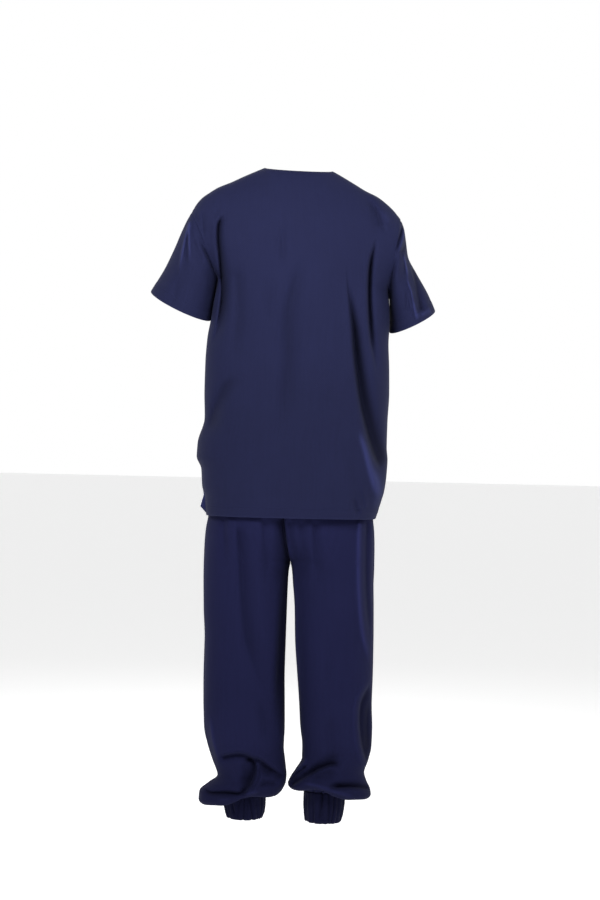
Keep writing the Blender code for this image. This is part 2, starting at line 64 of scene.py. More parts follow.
ARMPIT_LEFT = (0.1725, -0.2455)
ARMPIT_RIGHT = (-0.1995, -0.2620)
TIP_LEFT = (0.2330, -0.0975)
TIP_RIGHT = (-0.2235, -0.1035)
ARMHOLE_BACK = 0.070
ARMHOLE_FRONT = 0.082
ROUND_OVER = 2.3
LIFT_AT, LIFT_WIDE = -0.45, 0.42
EYE = (-0.0154, 4.5, -0.616)      # where the camera stands
ROLL = math.radians(1.3)

# ------------------------------------------------------------------- tables
TOP = ("z", "left_b", "left_f", "right_b", "right_f", "back", "front")
TOP_ROWS = [
    (-0.7630, 0.1860, 0.2014, -0.1830, -0.1820, 0.121, -0.137),
    (-0.7440, 0.1880, 0.1985, -0.1895, -0.1880, 0.122, -0.138),
    (-0.7220, 0.1905, 0.1945, -0.1965, -0.1960, 0.123, -0.140),
    (-0.7000, 0.1970, 0.1972, -0.2025, -0.2025, 0.125, -0.141),
    (-0.6600, 0.2000, 0.2000, -0.2070, -0.2070, 0.126, -0.142),
    (-0.6350, 0.2105, 0.2105, -0.2080, -0.2080, 0.125, -0.143),
    (-0.6050, 0.2090, 0.2090, -0.2055, -0.2055, 0.124, -0.143),
    (-0.5500, 0.1950, 0.1950, -0.2060, -0.2060, 0.121, -0.142),
    (-0.4900, 0.1970, 0.1970, -0.2085, -0.2085, 0.118, -0.141),
    (-0.4300, 0.1965, 0.1965, -0.2075, -0.2075, 0.117, -0.141),
    (-0.3740, 0.1930, 0.1930, -0.2050, -0.2050, 0.118, -0.142),
    (-0.3370, 0.1868, 0.1868, -0.2064, -0.2064, 0.119, -0.142),
    (-0.2900, 0.1804, 0.1804, -0.2042, -0.2042, 0.120, -0.141),
    (-0.2400, 0.1725, 0.1725, -0.1995, -0.1995, 0.119, -0.138),
]
SLOPE_LEFT_ROWS = [
    (0.0757, 0.0015), (0.0890, -0.0040), (0.1210, -0.0180), (0.1480, -0.0310),
    (0.1780, -0.0440), (0.1980, -0.0570), (0.2110, -0.0665), (0.2230, -0.0800),
    (0.2330, -0.0975),
]
SLOPE_RIGHT_ROWS = [
    (0.0722, -0.0030), (0.0880, -0.0110), (0.1010, -0.0180), (0.1240, -0.0310),
    (0.1460, -0.0440), (0.1730, -0.0570), (0.1860, -0.0660), (0.2080, -0.0850),
    (0.2235, -0.1035),
]
SLEEVE = ("t", "xo", "zo", "xi", "zi", "mid", "back", "front", "sag")
SLEEVE_LEFT_ROWS = [
    (0.00, 0.2345, -0.0992, 0.1755, -0.2490, -0.004, 0.0690, -0.0890, 0.000),
    (0.16, 0.2430, -0.1150, 0.1778, -0.2610, -0.004, 0.0740, -0.0910, 0.001),
    (0.34, 0.2540, -0.1400, 0.1799, -0.2745, -0.005, 0.0760, -0.0930, 0.003),
    (0.54, 0.2690, -0.1780, 0.1818, -0.2905, -0.006, 0.0740, -0.0920, 0.006),
    (0.76, 0.2905, -0.2240, 0.1851, -0.3110, -0.008, 0.0700, -0.0880, 0.010),
    (0.90, 0.3070, -0.2515, 0.1873, -0.3270, -0.009, 0.0670, -0.0850, 0.0135),
    (1.00, 0.3205, -0.2740, 0.1883, -0.3340, -0.010, 0.0650, -0.0830, 0.0160),
]
SLEEVE_RIGHT_ROWS = [
    (0.00, -0.2248, -0.1055, -0.2025, -0.2660, -0.004, 0.0690, -0.0890, 0.000),
    (0.16, -0.2320, -0.1240, -0.2050, -0.2745, -0.006, 0.0690, -0.0930, 0.001),
    (0.34, -0.2370, -0.1500, -0.2064, -0.2850, -0.012, 0.0640, -0.0970, 0.002),
    (0.54, -0.2432, -0.1840, -0.2069, -0.2980, -0.020, 0.0560, -0.1010, 0.003),
    (0.72, -0.2640, -0.2205, -0.2079, -0.3150, -0.028, 0.0500, -0.1050, 0.007),
    (0.88, -0.2905, -0.2650, -0.2086, -0.3330, -0.034, 0.0450, -0.1080, 0.0105),
    (1.00, -0.3072, -0.3010, -0.2088, -0.3510, -0.038, 0.0420, -0.1090, 0.0135),
]
LEG = ("z", "xo", "xi", "drop", "back", "front", "mid", "turn", "full", "rise")
LEG_LEFT_ROWS = [
    (-0.5550, 0.1610, 0.0030, 0.0000, 0.0960, -0.1010, 0.0000, 90.0, 2.2, 0.0000),
    (-0.6200, 0.1720, 0.0060, 0.0000, 0.1060, -0.1080, 0.0000, 90.0, 2.2, 0.0000),
    (-0.6850, 0.1790, 0.0100, 0.0000, 0.1090, -0.1080, 0.0000, 92.0, 2.3, 0.0000),
    (-0.7350, 0.1800, 0.0140, 0.0000, 0.1070, -0.1070, 0.0000, 96.0, 2.1, 0.0000),
    (-0.7650, 0.1820, 0.0160, 0.0000, 0.1050, -0.1070, 0.0000, 102.0, 2.0, 0.0000),
    (-0.7950, 0.1865, 0.0125, 0.0000, 0.1050, -0.1070, 0.0000, 116.0, 2.2, 0.0000),
    (-0.8280, 0.1882, 0.0070, 0.0000, 0.1035, -0.1070, 0.0004, 138.0, 2.2, 0.0000),
    (-0.8500, 0.1885, 0.0025, 0.0000, 0.1020, -0.1070, 0.0008, 160.0, 2.2, 0.0000),
    (-0.8630, 0.1887, 0.0012, 0.0000, 0.1010, -0.1070, 0.0010, 180.0, 2.2, 0.0000),
    (-0.8730, 0.1888, 0.0034, 0.0000, 0.1000, -0.1070, 0.0013, 180.0, 2.2, 0.0000),
    (-0.8880, 0.1887, 0.0049, 0.0000, 0.0985, -0.1065, 0.0018, 180.0, 2.2, 0.0000),
    (-0.9050, 0.1885, 0.0056, 0.0000, 0.0970, -0.1060, 0.0022, 180.0, 2.2, 0.0000),
    (-0.9680, 0.1870, 0.0070, 0.0000, 0.0930, -0.1040, 0.0034, 180.0, 2.2, 0.0000),
    (-1.0350, 0.1835, 0.0080, 0.0000, 0.0880, -0.1000, 0.0047, 180.0, 2.2, 0.0000),
    (-1.1000, 0.1840, 0.0085, 0.0000, 0.0870, -0.0940, 0.0060, 180.0, 2.2, 0.0000),
    (-1.1660, 0.1835, 0.0070, 0.0000, 0.0890, -0.0860, 0.0078, 180.0, 2.2, 0.0000),
    (-1.2250, 0.1810, 0.0060, 0.0000, 0.0910, -0.0790, 0.0093, 180.0, 2.2, 0.0000),
    (-1.2650, 0.1720, 0.0070, 0.0000, 0.0900, -0.0740, 0.0107, 180.0, 2.2, 0.0000),
    (-1.3000, 0.1600, 0.0030, 0.0000, 0.0850, -0.0680, 0.0125, 180.0, 2.2, 0.0000),
    (-1.3290, 0.1490, -0.0005, 0.0020, 0.0840, -0.0640, 0.0140, 180.0, 2.2, 0.0010),
    (-1.3440, 0.1690, 0.0005, 0.0050, 0.0890, -0.0670, 0.0140, 180.0, 2.2, 0.0030),
    (-1.3570, 0.1875, 0.0055, 0.0100, 0.0920, -0.0700, 0.0140, 180.0, 2.3, 0.0050),
    (-1.3665, 0.1890, 0.0115, 0.0185, 0.0910, -0.0690, 0.0140, 180.0, 2.3, 0.0060),
    (-1.3730, 0.1770, 0.0225, 0.0220, 0.0860, -0.0610, 0.0140, 180.0, 2.2, 0.0070),
    (-1.3720, 0.1560, 0.0355, 0.0180, 0.0760, -0.0480, 0.0140, 180.0, 2.1, 0.0060),
    (-1.3680, 0.1370, 0.0425, 0.0000, 0.0670, -0.0360, 0.0140, 180.0, 2.0, 0.0000),
]
LEG_RIGHT_ROWS = [
    (-0.5550, -0.1610, 0.0030, 0.0000, 0.0960, -0.1010, 0.0000, 90.0, 2.2, 0.0000),
    (-0.6200, -0.1715, 0.0060, 0.0000, 0.1060, -0.1080, 0.0000, 90.0, 2.2, 0.0000),
    (-0.6850, -0.1770, 0.0100, 0.0000, 0.1090, -0.1080, 0.0000, 92.0, 2.3, 0.0000),
    (-0.7350, -0.1770, 0.0140, 0.0000, 0.1070, -0.1070, 0.0000, 96.0, 2.1, 0.0000),
    (-0.7650, -0.1785, 0.0160, 0.0000, 0.1050, -0.1070, 0.0000, 102.0, 2.0, 0.0000),
    (-0.7950, -0.1815, 0.0125, 0.0000, 0.1050, -0.1070, 0.0000, 116.0, 2.2, 0.0000),
    (-0.8280, -0.1826, 0.0070, 0.0000, 0.1035, -0.1070, 0.0004, 138.0, 2.2, 0.0000),
    (-0.8500, -0.1828, 0.0025, 0.0000, 0.1020, -0.1070, 0.0008, 160.0, 2.2, 0.0000),
    (-0.8630, -0.1829, -0.0014, 0.0000, 0.1010, -0.1070, 0.0010, 180.0, 2.2, 0.0000),
    (-0.8730, -0.1830, -0.0040, 0.0000, 0.1000, -0.1070, 0.0013, 180.0, 2.2, 0.0000),
    (-0.8880, -0.1828, -0.0060, 0.0000, 0.0985, -0.1065, 0.0018, 180.0, 2.2, 0.0000),
    (-0.9050, -0.1825, -0.0075, 0.0000, 0.0970, -0.1060, 0.0022, 180.0, 2.2, 0.0000),
    (-0.9600, -0.1845, -0.0130, 0.0000, 0.0930, -0.1040, 0.0034, 180.0, 2.2, 0.0000),
    (-1.0350, -0.1860, -0.0160, 0.0000, 0.0880, -0.1000, 0.0047, 180.0, 2.2, 0.0000),
    (-1.1000, -0.1860, -0.0215, 0.0000, 0.0870, -0.0940, 0.0060, 180.0, 2.2, 0.0000),
    (-1.1660, -0.1850, -0.0280, 0.0000, 0.0890, -0.0860, 0.0078, 180.0, 2.2, 0.0000),
    (-1.2200, -0.1870, -0.0320, 0.0000, 0.0890, -0.0790, 0.0092, 180.0, 2.2, 0.0000),
    (-1.2600, -0.1860, -0.0365, 0.0000, 0.0870, -0.0740, 0.0105, 180.0, 2.2, 0.0000),
    (-1.2900, -0.1800, -0.0365, 0.0000, 0.0830, -0.0690, 0.0120, 180.0, 2.2, 0.0000),
    (-1.3170, -0.1710, -0.0230, 0.0010, 0.0830, -0.0650, 0.0140, 180.0, 2.2, 0.0010),
    (-1.3330, -0.1760, -0.0130, 0.0030, 0.0880, -0.0680, 0.0140, 180.0, 2.2, 0.0040),
    (-1.3480, -0.1850, -0.0068, 0.0070, 0.0910, -0.0700, 0.0140, 180.0, 2.3, 0.0080),
    (-1.3560, -0.1868, -0.0110, 0.0110, 0.0890, -0.0690, 0.0140, 180.0, 2.3, 0.0110),
    (-1.3590, -0.1780, -0.0230, 0.0160, 0.0840, -0.0610, 0.0140, 180.0, 2.2, 0.0125),
    (-1.3580, -0.1560, -0.0340, 0.0170, 0.0750, -0.0480, 0.0140, 180.0, 2.1, 0.0115),
    (-1.3575, -0.1330, -0.0400, 0.0000, 0.0670, -0.0360, 0.0140, 180.0, 2.0, 0.0000),
]
# Rings of the waistband and the ankle cuffs.
RING = ("z", "xo", "xi", "back", "front")
WAIST_ROWS = [
    (-0.5150, 0.1570, -0.1570, 0.0930, -0.0980),
    (-0.5350, 0.1590, -0.1590, 0.0945, -0.0995),
    (-0.5532, 0.1610, -0.1610, 0.0960, -0.1010),
]
CUFF_LEFT_ROWS = [
    (-1.3710, 0.1352, 0.0430, 0.0655, -0.0345),
    (-1.3900, 0.1355, 0.0425, 0.0660, -0.0350),
    (-1.4090, 0.1320, 0.0435, 0.0650, -0.0345),
    (-1.4225, 0.1275, 0.0480, 0.0620, -0.0310),
]
CUFF_RIGHT_ROWS = [
    (-1.3597, -0.1315, -0.0405, 0.0655, -0.0345),
    (-1.3850, -0.1310, -0.0400, 0.0660, -0.0350),
    (-1.4080, -0.1285, -0.0415, 0.0650, -0.0345),
    (-1.4270, -0.1235, -0.0440, 0.0620, -0.0310),
]

# ------------------------------------------------------------ creases (in mm)
# x and z are where the crease is seen from the camera, on the plane through
# the neck; depth presses in (a minus lifts a ridge), w0 and w1 are its half
# width at its two ends, roll is the lift of the cloth beside it on the side
# `to` (+ the wearer's left; the larger the number, the sharper that side), in
# and out are the shares that fade away.
CREASE = ("name", "depth", "w0", "w1", "roll", "to", "in", "out", "line")
TOP_BACK_CREASES = [
    ("under left arm", 19.0, 5.0, 9.5, 2.0, 1.8, .10, .35, [(161, -100), (173, -117), (176, -135), (175, -162), (172, -185), (168, -219), (165, -249), (163, -271), (164, -294), (168, -330), (174, -362), (184, -400)]),
    ("strip at its side", -3.0, 4.0, 6.0, 0.0, 1, .30, .40, [(181, -222), (177, -253), (177, -282), (181, -320)]),
    ("above it", 3.0, 5.0, 6.0, 0.5, 1, .30, .40, [(174, -83), (181, -101), (183, -128)]),
    ("beside it", 7.0, 12.0, 16.0, 1.2, 1, .30, .40, [(133, -200), (130, -260), (126, -329), (133, -382), (147, -433)]),
    ("left yoke", 3.2, 9.0, 12.0, 0.0, 1, .40, .40, [(63, -239), (60, -358)]),
    ("middle, high", 4.4, 7.0, 10.0, 0.8, 1, .40, .40, [(33, -115), (31, -228)]),
    ("middle, long", 9.0, 13.0, 26.0, 0.5, 1, .25, .40, [(-19, -171), (-7, -217), (8, -271), (17, -337), (13, -413), (19, -500), (26, -565), (41, -640)]),
    ("right, above", 4.5, 8.0, 11.0, 1.5, -1, .25, .45, [(-138, -48), (-160, -79), (-172, -112), (-172, -160)]),
    ("right, by the arm", 23.0, 4.5, 6.5, 1.5, 1.5, .25, .45, [(-176, -138), (-166, -172), (-160, -202), (-158, -245), (-159, -287), (-162, -330), (-167, -372), (-174, -406), (-185, -462)]),
    ("right, long", 30.0, 4.0, 18.0, 2.0, 2.0, .42, .10, [(-108, -200), (-113, -254), (-119, -297), (-126, -347), (-132, -403), (-140, -458), (-149, -509), (-161, -559), (-176, -610), (-201, -665)]),
    ("right hem ridge", -8.0, 7.0, 9.0, 0.0, 1, .30, .25, [(-142, -556), (-150, -588), (-158, -613), (-168, -650), (-182, -690), (-194, -724)]),
    ("right hem plane", -3.2, 12.0, 15.0, 0.0, 1, .35, .20, [(-172, -640), (-184, -680), (-188, -715), (-180, -748)]),
    ("right hem streak", -3.0, 2.5, 4.0, 0.0, 1, .30, .25, [(-150, -690), (-158, -715), (-166, -745)]),
    ("right hem nick", 5.0, 3.5, 5.0, 2.0, -1, .40, .20, [(-134, -712), (-149, -758)]),
    ("right hem, inner", 3.0, 14.0, 14.0, 0.0, 1, .40, .20, [(-118, -600), (-142, -690), (-158, -752)]),
    ("left, low", 10.0, 13.0, 13.0, 1.0, 1, .35, .25, [(118, -440), (131, -461), (153, -483), (170, -519), (180, -554), (194, -594)]),
    ("right shoulder", 8.0, 4.5, 8.0, 0.5, -1, .30, .45, [(-156, -58), (-166, -78), (-180, -110), (-190, -126), (-204, -146)]),
    ("shoulder plane", -2.6, 8.0, 9.0, 0.0, 1, .40, .40, [(-178, -78), (-194, -104), (-203, -122)]),
    ("shoulder edge", -3.0, 3.5, 4.0, 0.0, 1, .30, .30, [(-160, -78), (-170, -100), (-176, -120)]),
    ("left shoulder", 4.0, 4.5, 5.5, 1.2, 1, .30, .40, [(210, -92), (209, -129), (205, -160)]),
    ("left shoulder tip", 3.0, 3.5, 4.5, 0.8, 1, .30, .40, [(224, -98), (219, -120), (214, -140)]),
]
TOP_FRONT_CREASES = [
    ("left chest", 8.5, 8.0, 15.0, 3.0, -1, .35, .25, [(118, -205), (124, -300), (136, -420), (152, -520), (176, -610)]),
    ("right chest", 7.5, 8.0, 14.0, 3.0, 1, .35, .30, [(-120, -215), (-126, -330), (-142, -450), (-172, -570)]),
    ("under left arm", 6.0, 6.0, 8.0, 2.0, -1, .20, .40, [(172, -130), (163, -200), (165, -300), (178, -380)]),
    ("under right arm", 6.5, 6.0, 9.0, 2.0, 1, .20, .40, [(-172, -130), (-162, -210), (-166, -310), (-184, -420)]),
    ("middle, long", 4.2, 12.0, 19.0, 1.5, -1, .25, .40, [(24, -265), (6, -360), (-8, -470), (-22, -560), (-46, -680)]),
    ("middle, short", 2.4, 10.0, 13.0, 0.0, 1, .40, .40, [(62, -250), (66, -400)]),
    ("from the v, left", 2.2, 5.0, 9.0, 0.8, 1, .15, .50, [(14, -190), (46, -250), (80, -300)]),
    ("from the v, right", 2.0, 5.0, 9.0, 0.8, -1, .15, .50, [(-14, -190), (-42, -240), (-70, -280)]),
    ("left, low", 4.0, 14.0, 12.0, 1.5, 1, .40, .30, [(96, -560), (128, -640), (150, -725)]),
    ("right, low", 4.4, 14.0, 12.0, 1.5, -1, .40, .20, [(-92, -540), (-118, -640), (-128, -745)]),
]
SLEEVE_LEFT_CREASES = [
    ("streak, inner", -7.0, 2.0, 3.6, 0.0, 1, .12, .55, [(238, -114), (240, -141), (239, -164), (238, -191), (239, -228)]),
    ("streak, outer", -6.5, 2.0, 3.6, 0.0, 1, .12, .50, [(239, -116), (246, -148), (252, -180), (257, -212), (259, -250)]),
    ("between them", 3.0, 3.0, 5.0, 0.0, 1, .20, .40, [(242, -140), (245, -180), (247, -222)]),
    ("soft, inner", 3.4, 5.0, 8.0, 0.8, -1, .25, .45, [(232, -150), (222, -180), (210, -208), (204, -232)]),
    ("under the seam", 9.0, 2.6, 4.5, 0.6, 1, .35, .20, [(216, -160), (203, -184), (191, -207), (180, -231)]),
    ("hem tone", 3.2, 7.0, 9.0, 1.2, 1, .35, .10, [(259, -240), (266, -268), (271, -305)]),
    ("inner edge", 2.0, 6.0, 8.0, 0.0, 1, .25, .25, [(188, -252), (192, -285), (199, -326)]),
]
SLEEVE_RIGHT_CREASES = [
    ("cap pocket", 16.0, 3.2, 4.0, 0.0, 1, .10, .25, [(-227, -98), (-226, -119), (-223, -140), (-217, -160), (-210, -180)]),
    ("thin ridge", -6.0, 2.0, 2.4, 0.0, 1, .15, .30, [(-233, -118), (-231, -144), (-226, -163), (-218, -183)]),
    ("second pocket", 12.0, 4.0, 6.0, 0.0, 1, .25, .30, [(-238, -138), (-236, -155), (-232, -169), (-223, -182)]),
    ("under the strip", 9.0, 5.0, 5.0, 0.0, 1, .20, .15, [(-224, -184), (-212, -198), (-207, -214), (-206, -250), (-207, -300), (-209, -358)]),
    ("ridge, high", -7.0, 1.8, 3.0, 0.0, 1, .20, .45, [(-232, -176), (-235, -190), (-239, -206), (-243, -228), (-245, -242)]),
    ("ridge, middle", -6.0, 2.0, 2.4, 0.0, 1, .35, .35, [(-241, -226), (-246, -246), (-252, -262), (-256, -280), (-258, -294)]),
    ("ridge, low", -6.5, 2.4, 5.0, 0.0, 1, .35, .20, [(-255, -276), (-259, -293), (-263, -310), (-268, -326)]),
    ("ridge, aside", -4.0, 1.8, 2.4, 0.0, 1, .35, .45, [(-247, -208), (-252, -226), (-259, -247), (-264, -268)]),
    ("ridge, inner", -3.0, 1.8, 2.2, 0.0, 1, .40, .40, [(-246, -268), (-251, -290), (-256, -314)]),
    ("beside it", 3.0, 3.5, 5.0, 0.0, 1, .25, .30, [(-240, -258), (-242, -275), (-243, -298), (-245, -318)]),
    ("outer hollow", 14.0, 5.5, 8.0, 0.0, 1, .20, .12, [(-246, -194), (-254, -215), (-261, -244), (-266, -265), (-272, -290), (-276, -312)]),
    ("tip plane", -5.0, 6.0, 8.0, 0.0, 1, .40, .10, [(-270, -318), (-284, -308), (-296, -303)]),
]
LEG_LEFT_CREASES = [
    ("outer seat", 5.0, 7.0, 9.0, 1.0, -1, .10, .50, [(148, -766), (145, -820), (142, -890)]),
    ("seat, long", 10.0, 10.0, 24.0, 1.0, 1.9, .10, .35, [(118, -768), (109, -861), (101, -949), (88, -1036), (60, -1110), (30, -1170)]),
    ("inner seat", 6.0, 10.0, 14.0, 1.5, 1.5, .10, .50, [(62, -766), (54, -850), (50, -920)]),
    ("cleft", 8.0, 7.0, 7.0, 0.0, 1, .04, .20, [(19, -766), (15, -812), (10, -850), (13, -900), (15, -960)]),
    ("cleft, wide", 6.0, 14.0, 14.0, 0.0, 1, .04, .30, [(26, -766), (25, -812), (22, -870), (24, -940)]),
    ("inner thigh", 17.0, 8.0, 11.0, 0.0, 1, .25, .40, [(14, -900), (18, -980), (20, -1120), (17, -1240)]),
    ("calf", 6.0, 12.0, 18.0, 1.0, 1, .40, .40, [(60, -1150), (48, -1210), (40, -1270)]),
    ("outer edge", -4.0, 4.0, 5.0, 0.0, 1, .35, .25, [(173, -1190), (165, -1252), (155, -1290), (148, -1318)]),
    ("outer strip", 8.0, 4.0, 6.0, 0.0, 1, .35, .20, [(182, -1205), (172, -1262), (161, -1300), (153, -1330)]),
    ("ankle arc", 13.0, 7.0, 10.0, 1.5, -1.8, .20, .15, [(150, -1298), (125, -1291), (106, -1288), (87, -1291), (74, -1304)]),
    ("ankle drop", 16.0, 8.0, 8.0, 1.5, -1.5, .15, .15, [(86, -1288), (72, -1303), (68, -1319), (73, -1338), (81, -1357), (97, -1380)]),
    ("beside the drop", 9.0, 12.0, 12.0, 0.0, 1, .30, .30, [(92, -1300), (88, -1330), (96, -1362)]),
    ("thin, inner", 5.0, 2.4, 2.8, 1.6, -1, .20, .20, [(58, -1314), (58, -1335), (66, -1354), (79, -1371)]),
    ("thin, middle", 5.0, 2.4, 2.8, 1.4, -1, .20, .20, [(65, -1320), (67, -1342), (80, -1366)]),
    ("ankle flow", 12.0, 6.0, 9.0, 1.5, -1.5, .20, .15, [(80, -1292), (59, -1300), (40, -1315), (20, -1328), (2, -1339)]),
    ("under flow", 7.0, 10.0, 10.0, 0.0, 1, .30, .30, [(66, -1310), (48, -1322), (28, -1336)]),
    ("tuck, outer", 16.0, 6.0, 7.0, 0.0, -1.3, .25, .20, [(188, -1362), (173, -1370), (158, -1374), (129, -1373), (100, -1374), (84, -1367)]),
    ("lip", -3.5, 4.5, 4.5, 0.0, 1, .20, .20, [(160, -1392), (126, -1387), (95, -1379), (70, -1372), (49, -1364)]),
    ("tuck, inner", 8.0, 6.0, 6.0, 0.0, 1, .30, .30, [(60, -1358), (40, -1352), (14, -1352)]),
]
LEG_RIGHT_CREASES = [
    ("seat", 6.5, 8.0, 14.0, 1.2, 1.5, .10, .50, [(-50, -766), (-56, -857), (-62, -940)]),
    ("inner seat", 5.0, 8.0, 12.0, 1.0, 1, .10, .50, [(-20, -766), (-26, -850), (-34, -920)]),
    ("cleft", 5.0, 9.0, 12.0, 0.0, 1, .10, .20, [(6, -766), (2, -812), (-4, -860), (-12, -920)]),
    ("side ridge", -5.2, 5.5, 6.5, 0.0, 1, .03, .25, [(-149, -766), (-151, -906), (-160, -1002), (-171, -1050), (-185, -1105)]),
    ("side strip", 11.0, 6.5, 7.5, 0.0, 1, .04, .30, [(-166, -766), (-168, -905), (-177, -1002), (-184, -1050)]),
    ("inner edge", 7.0, 8.0, 10.0, 0.0, 1, .30, .40, [(-12, -900), (-22, -1050), (-34, -1230)]),
    ("low edge", -2.0, 3.2, 4.0, 0.0, 1, .22, .15, [(-178, -1108), (-160, -1145), (-149, -1170), (-147, -1210), (-151, -1251), (-159, -1284), (-171, -1316)]),
    ("low hollow", 17.0, 11.0, 11.0, 0.0, 2.2, .22, .15, [(-192, -1112), (-174, -1145), (-163, -1172), (-161, -1210), (-165, -1251), (-173, -1284), (-182, -1314)]),
    ("low hollow, outer", 11.0, 9.0, 9.0, 0.0, 1, .30, .25, [(-184, -1150), (-177, -1200), (-178, -1250), (-182, -1285)]),
    ("knee", 4.0, 12.0, 16.0, 0.8, 1, .40, .40, [(-96, -1000), (-92, -1090), (-84, -1180)]),
    ("shin", 6.0, 14.0, 22.0, 0.0, 1, .40, .10, [(-90, -1180), (-96, -1240), (-104, -1300)]),
    ("ankle arc", 18.0, 6.0, 11.0, 1.5, 1.6, .10, .20, [(-8, -1360), (-30, -1343), (-55, -1327), (-80, -1312), (-103, -1305), (-126, -1311)]),
    ("under the arc", 9.0, 12.0, 15.0, 0.0, 1, .30, .30, [(-50, -1340), (-84, -1328), (-118, -1326)]),
    ("flap", 8.0, 2.6, 3.4, 1.5, 1, .15, .20, [(-48, -1309), (-35, -1320), (-22, -1331), (-12, -1348)]),
    ("flap edge", -4.0, 4.5, 5.0, 0.0, 1, .20, .20, [(-46, -1288), (-42, -1303), (-30, -1312), (-16, -1330)]),
    ("tuck, outer", 18.0, 6.5, 8.0, 0.0, 1.3, .25, .15, [(-92, -1356), (-122, -1355), (-144, -1354), (-166, -1355), (-190, -1358)]),
    ("lip", -4.0, 4.5, 5.0, 0.0, 1, .20, .20, [(-28, -1349), (-62, -1352), (-87, -1359), (-109, -1366), (-138, -1374), (-160, -1379)]),
]
LEG_LEFT_FRONT_CREASES = [
    ("whisker, high", 5.0, 8.0, 13.0, 2.0, 1, .15, .50, [(10, -812), (60, -800), (120, -775)]),
    ("whisker, low", 4.0, 8.0, 12.0, 1.6, 1, .15, .50, [(12, -850), (60, -852), (118, -838)]),
    ("thigh", 4.5, 14.0, 18.0, 1.5, -1, .30, .40, [(112, -850), (116, -960), (104, -1070)]),
    ("knee", 5.0, 9.0, 11.0, 2.5, 1, .40, .40, [(150, -1060), (110, -1085), (60, -1080)]),
    ("shin", 3.5, 12.0, 16.0, 1.2, 1, .30, .40, [(78, -1110), (88, -1200), (104, -1270)]),
    ("ankle arc", 6.5, 5.0, 7.0, 3.0, -1, .20, .20, [(40, -1294), (70, -1284), (100, -1292), (120, -1320), (116, -1352)]),
    ("ankle fold", 4.5, 6.0, 7.0, 2.0, 1, .30, .30, [(150, -1300), (120, -1328), (80, -1338), (36, -1330)]),
    ("tuck", 6.0, 5.0, 6.0, 0.0, 1, .25, .25, [(176, -1366), (120, -1362), (60, -1352), (24, -1346)]),
]
LEG_RIGHT_FRONT_CREASES = [
    ("whisker, high", 4.6, 8.0, 13.0, 2.0, 1, .15, .50, [(-8, -815), (-62, -802), (-118, -782)]),
    ("whisker, low", 4.2, 8.0, 12.0, 1.6, 1, .15, .50, [(-10, -856), (-66, -846), (-122, -850)]),
    ("thigh", 4.2, 14.0, 18.0, 1.5, 1, .30, .40, [(-104, -860), (-112, -960), (-98, -1060)]),
    ("knee", 5.2, 9.0, 11.0, 2.5, 1, .40, .40, [(-44, -1075), (-96, -1092), (-150, -1070)]),
    ("shin", 3.5, 12.0, 16.0, 1.2, -1, .30, .40, [(-86, -1120), (-98, -1200), (-112, -1265)]),
    ("ankle arc", 6.5, 5.0, 7.0, 3.0, 1, .20, .20, [(-150, -1290), (-118, -1280), (-88, -1290), (-70, -1316), (-76, -1345)]),
    ("ankle fold", 4.5, 6.0, 7.0, 2.0, 1, .30, .30, [(-44, -1300), (-76, -1326), (-116, -1332), (-160, -1318)]),
    ("tuck", 6.0, 5.0, 6.0, 0.0, 1, .25, .25, [(-176, -1356), (-120, -1356), (-64, -1350), (-24, -1344)]),
]


# ------------------------------------------------------------------ functions
def curve(xs, ys):
    """Monotone cubic through the stations of a table's column."""
    xs = np.asarray(xs, float)
    ys = np.asarray(ys, float)
    if xs[0] > xs[-1]:
        xs, ys = xs[::-1], ys[::-1]
    h = np.diff(xs)
    d = np.diff(ys) / h
    m = np.zeros(len(xs))
    m[0], m[-1] = d[0], d[-1]
    for i in range(1, len(xs) - 1):
        if d[i - 1] * d[i] > 0:
            w1, w2 = 2 * h[i] + h[i - 1], h[i] + 2 * h[i - 1]
            m[i] = (w1 + w2) / (w1 / d[i - 1] + w2 / d[i])

    def at(x):
        x = np.clip(np.asarray(x, float), xs[0], xs[-1])
        k = np.clip(np.searchsorted(xs, x) - 1, 0, len(xs) - 2)
        t = (x - xs[k]) / h[k]
        return (ys[k] * (1 + 2 * t) * (1 - t) ** 2 + m[k] * h[k] * t * (1 - t) ** 2
                + ys[k + 1] * t * t * (3 - 2 * t) + m[k + 1] * h[k] * t * t * (t - 1))
    return at


def columns(names, rows, key=None):
    data = np.array(rows, float)
    along = np.arange(len(rows), dtype=float) if key is None else data[:, names.index(key)]
    return {name: curve(along, data[:, i]) for i, name in enumerate(names)}


def arc(phi, full):
    c, s = np.cos(phi), np.sin(phi)
    return np.sign(c) * np.abs(c) ** (2 / full), np.abs(s) ** (2 / full)


def smooth(t):
    t = np.clip(t, 0, 1)
    return t * t * (3 - 2 * t)


def even_angles(start, stop, count, full, wide, deep):
    """Angles from start to stop that part a fuller-than-round arc evenly."""
    fine = np.linspace(start, stop, 2001)
    c, s = arc(fine, full)
    length = np.concatenate([[0], np.cumsum(np.hypot(np.diff(c * wide), np.diff(s * deep)))])
    return np.interp(np.linspace(0, length[-1], count), length, fine)


def rounded(line, count=40):
    """A smooth path through a crease's stations."""
    q = np.array(line, float)
    if len(q) == 2:
        return np.linspace(q[0], q[1], 12)
    step = np.concatenate([[0], np.cumsum(np.linalg.norm(np.diff(q, axis=0), axis=1))])
    padded = np.vstack([2 * q[0] - q[1], q, 2 * q[-1] - q[-2]])
    out = []
    for t in np.linspace(0, step[-1], count):
        k = min(max(int(np.searchsorted(step, t, side="right")) - 1, 0), len(q) - 2)
        u = (t - step[k]) / (step[k + 1] - step[k])
        a, b, c, d = padded[k:k + 4]
        out.append(0.5 * (2 * b + (c - a) * u + (2 * a - 5 * b + 4 * c - d) * u ** 2
                          + (3 * b - a - 3 * c + d) * u ** 3))
    return np.array(out)


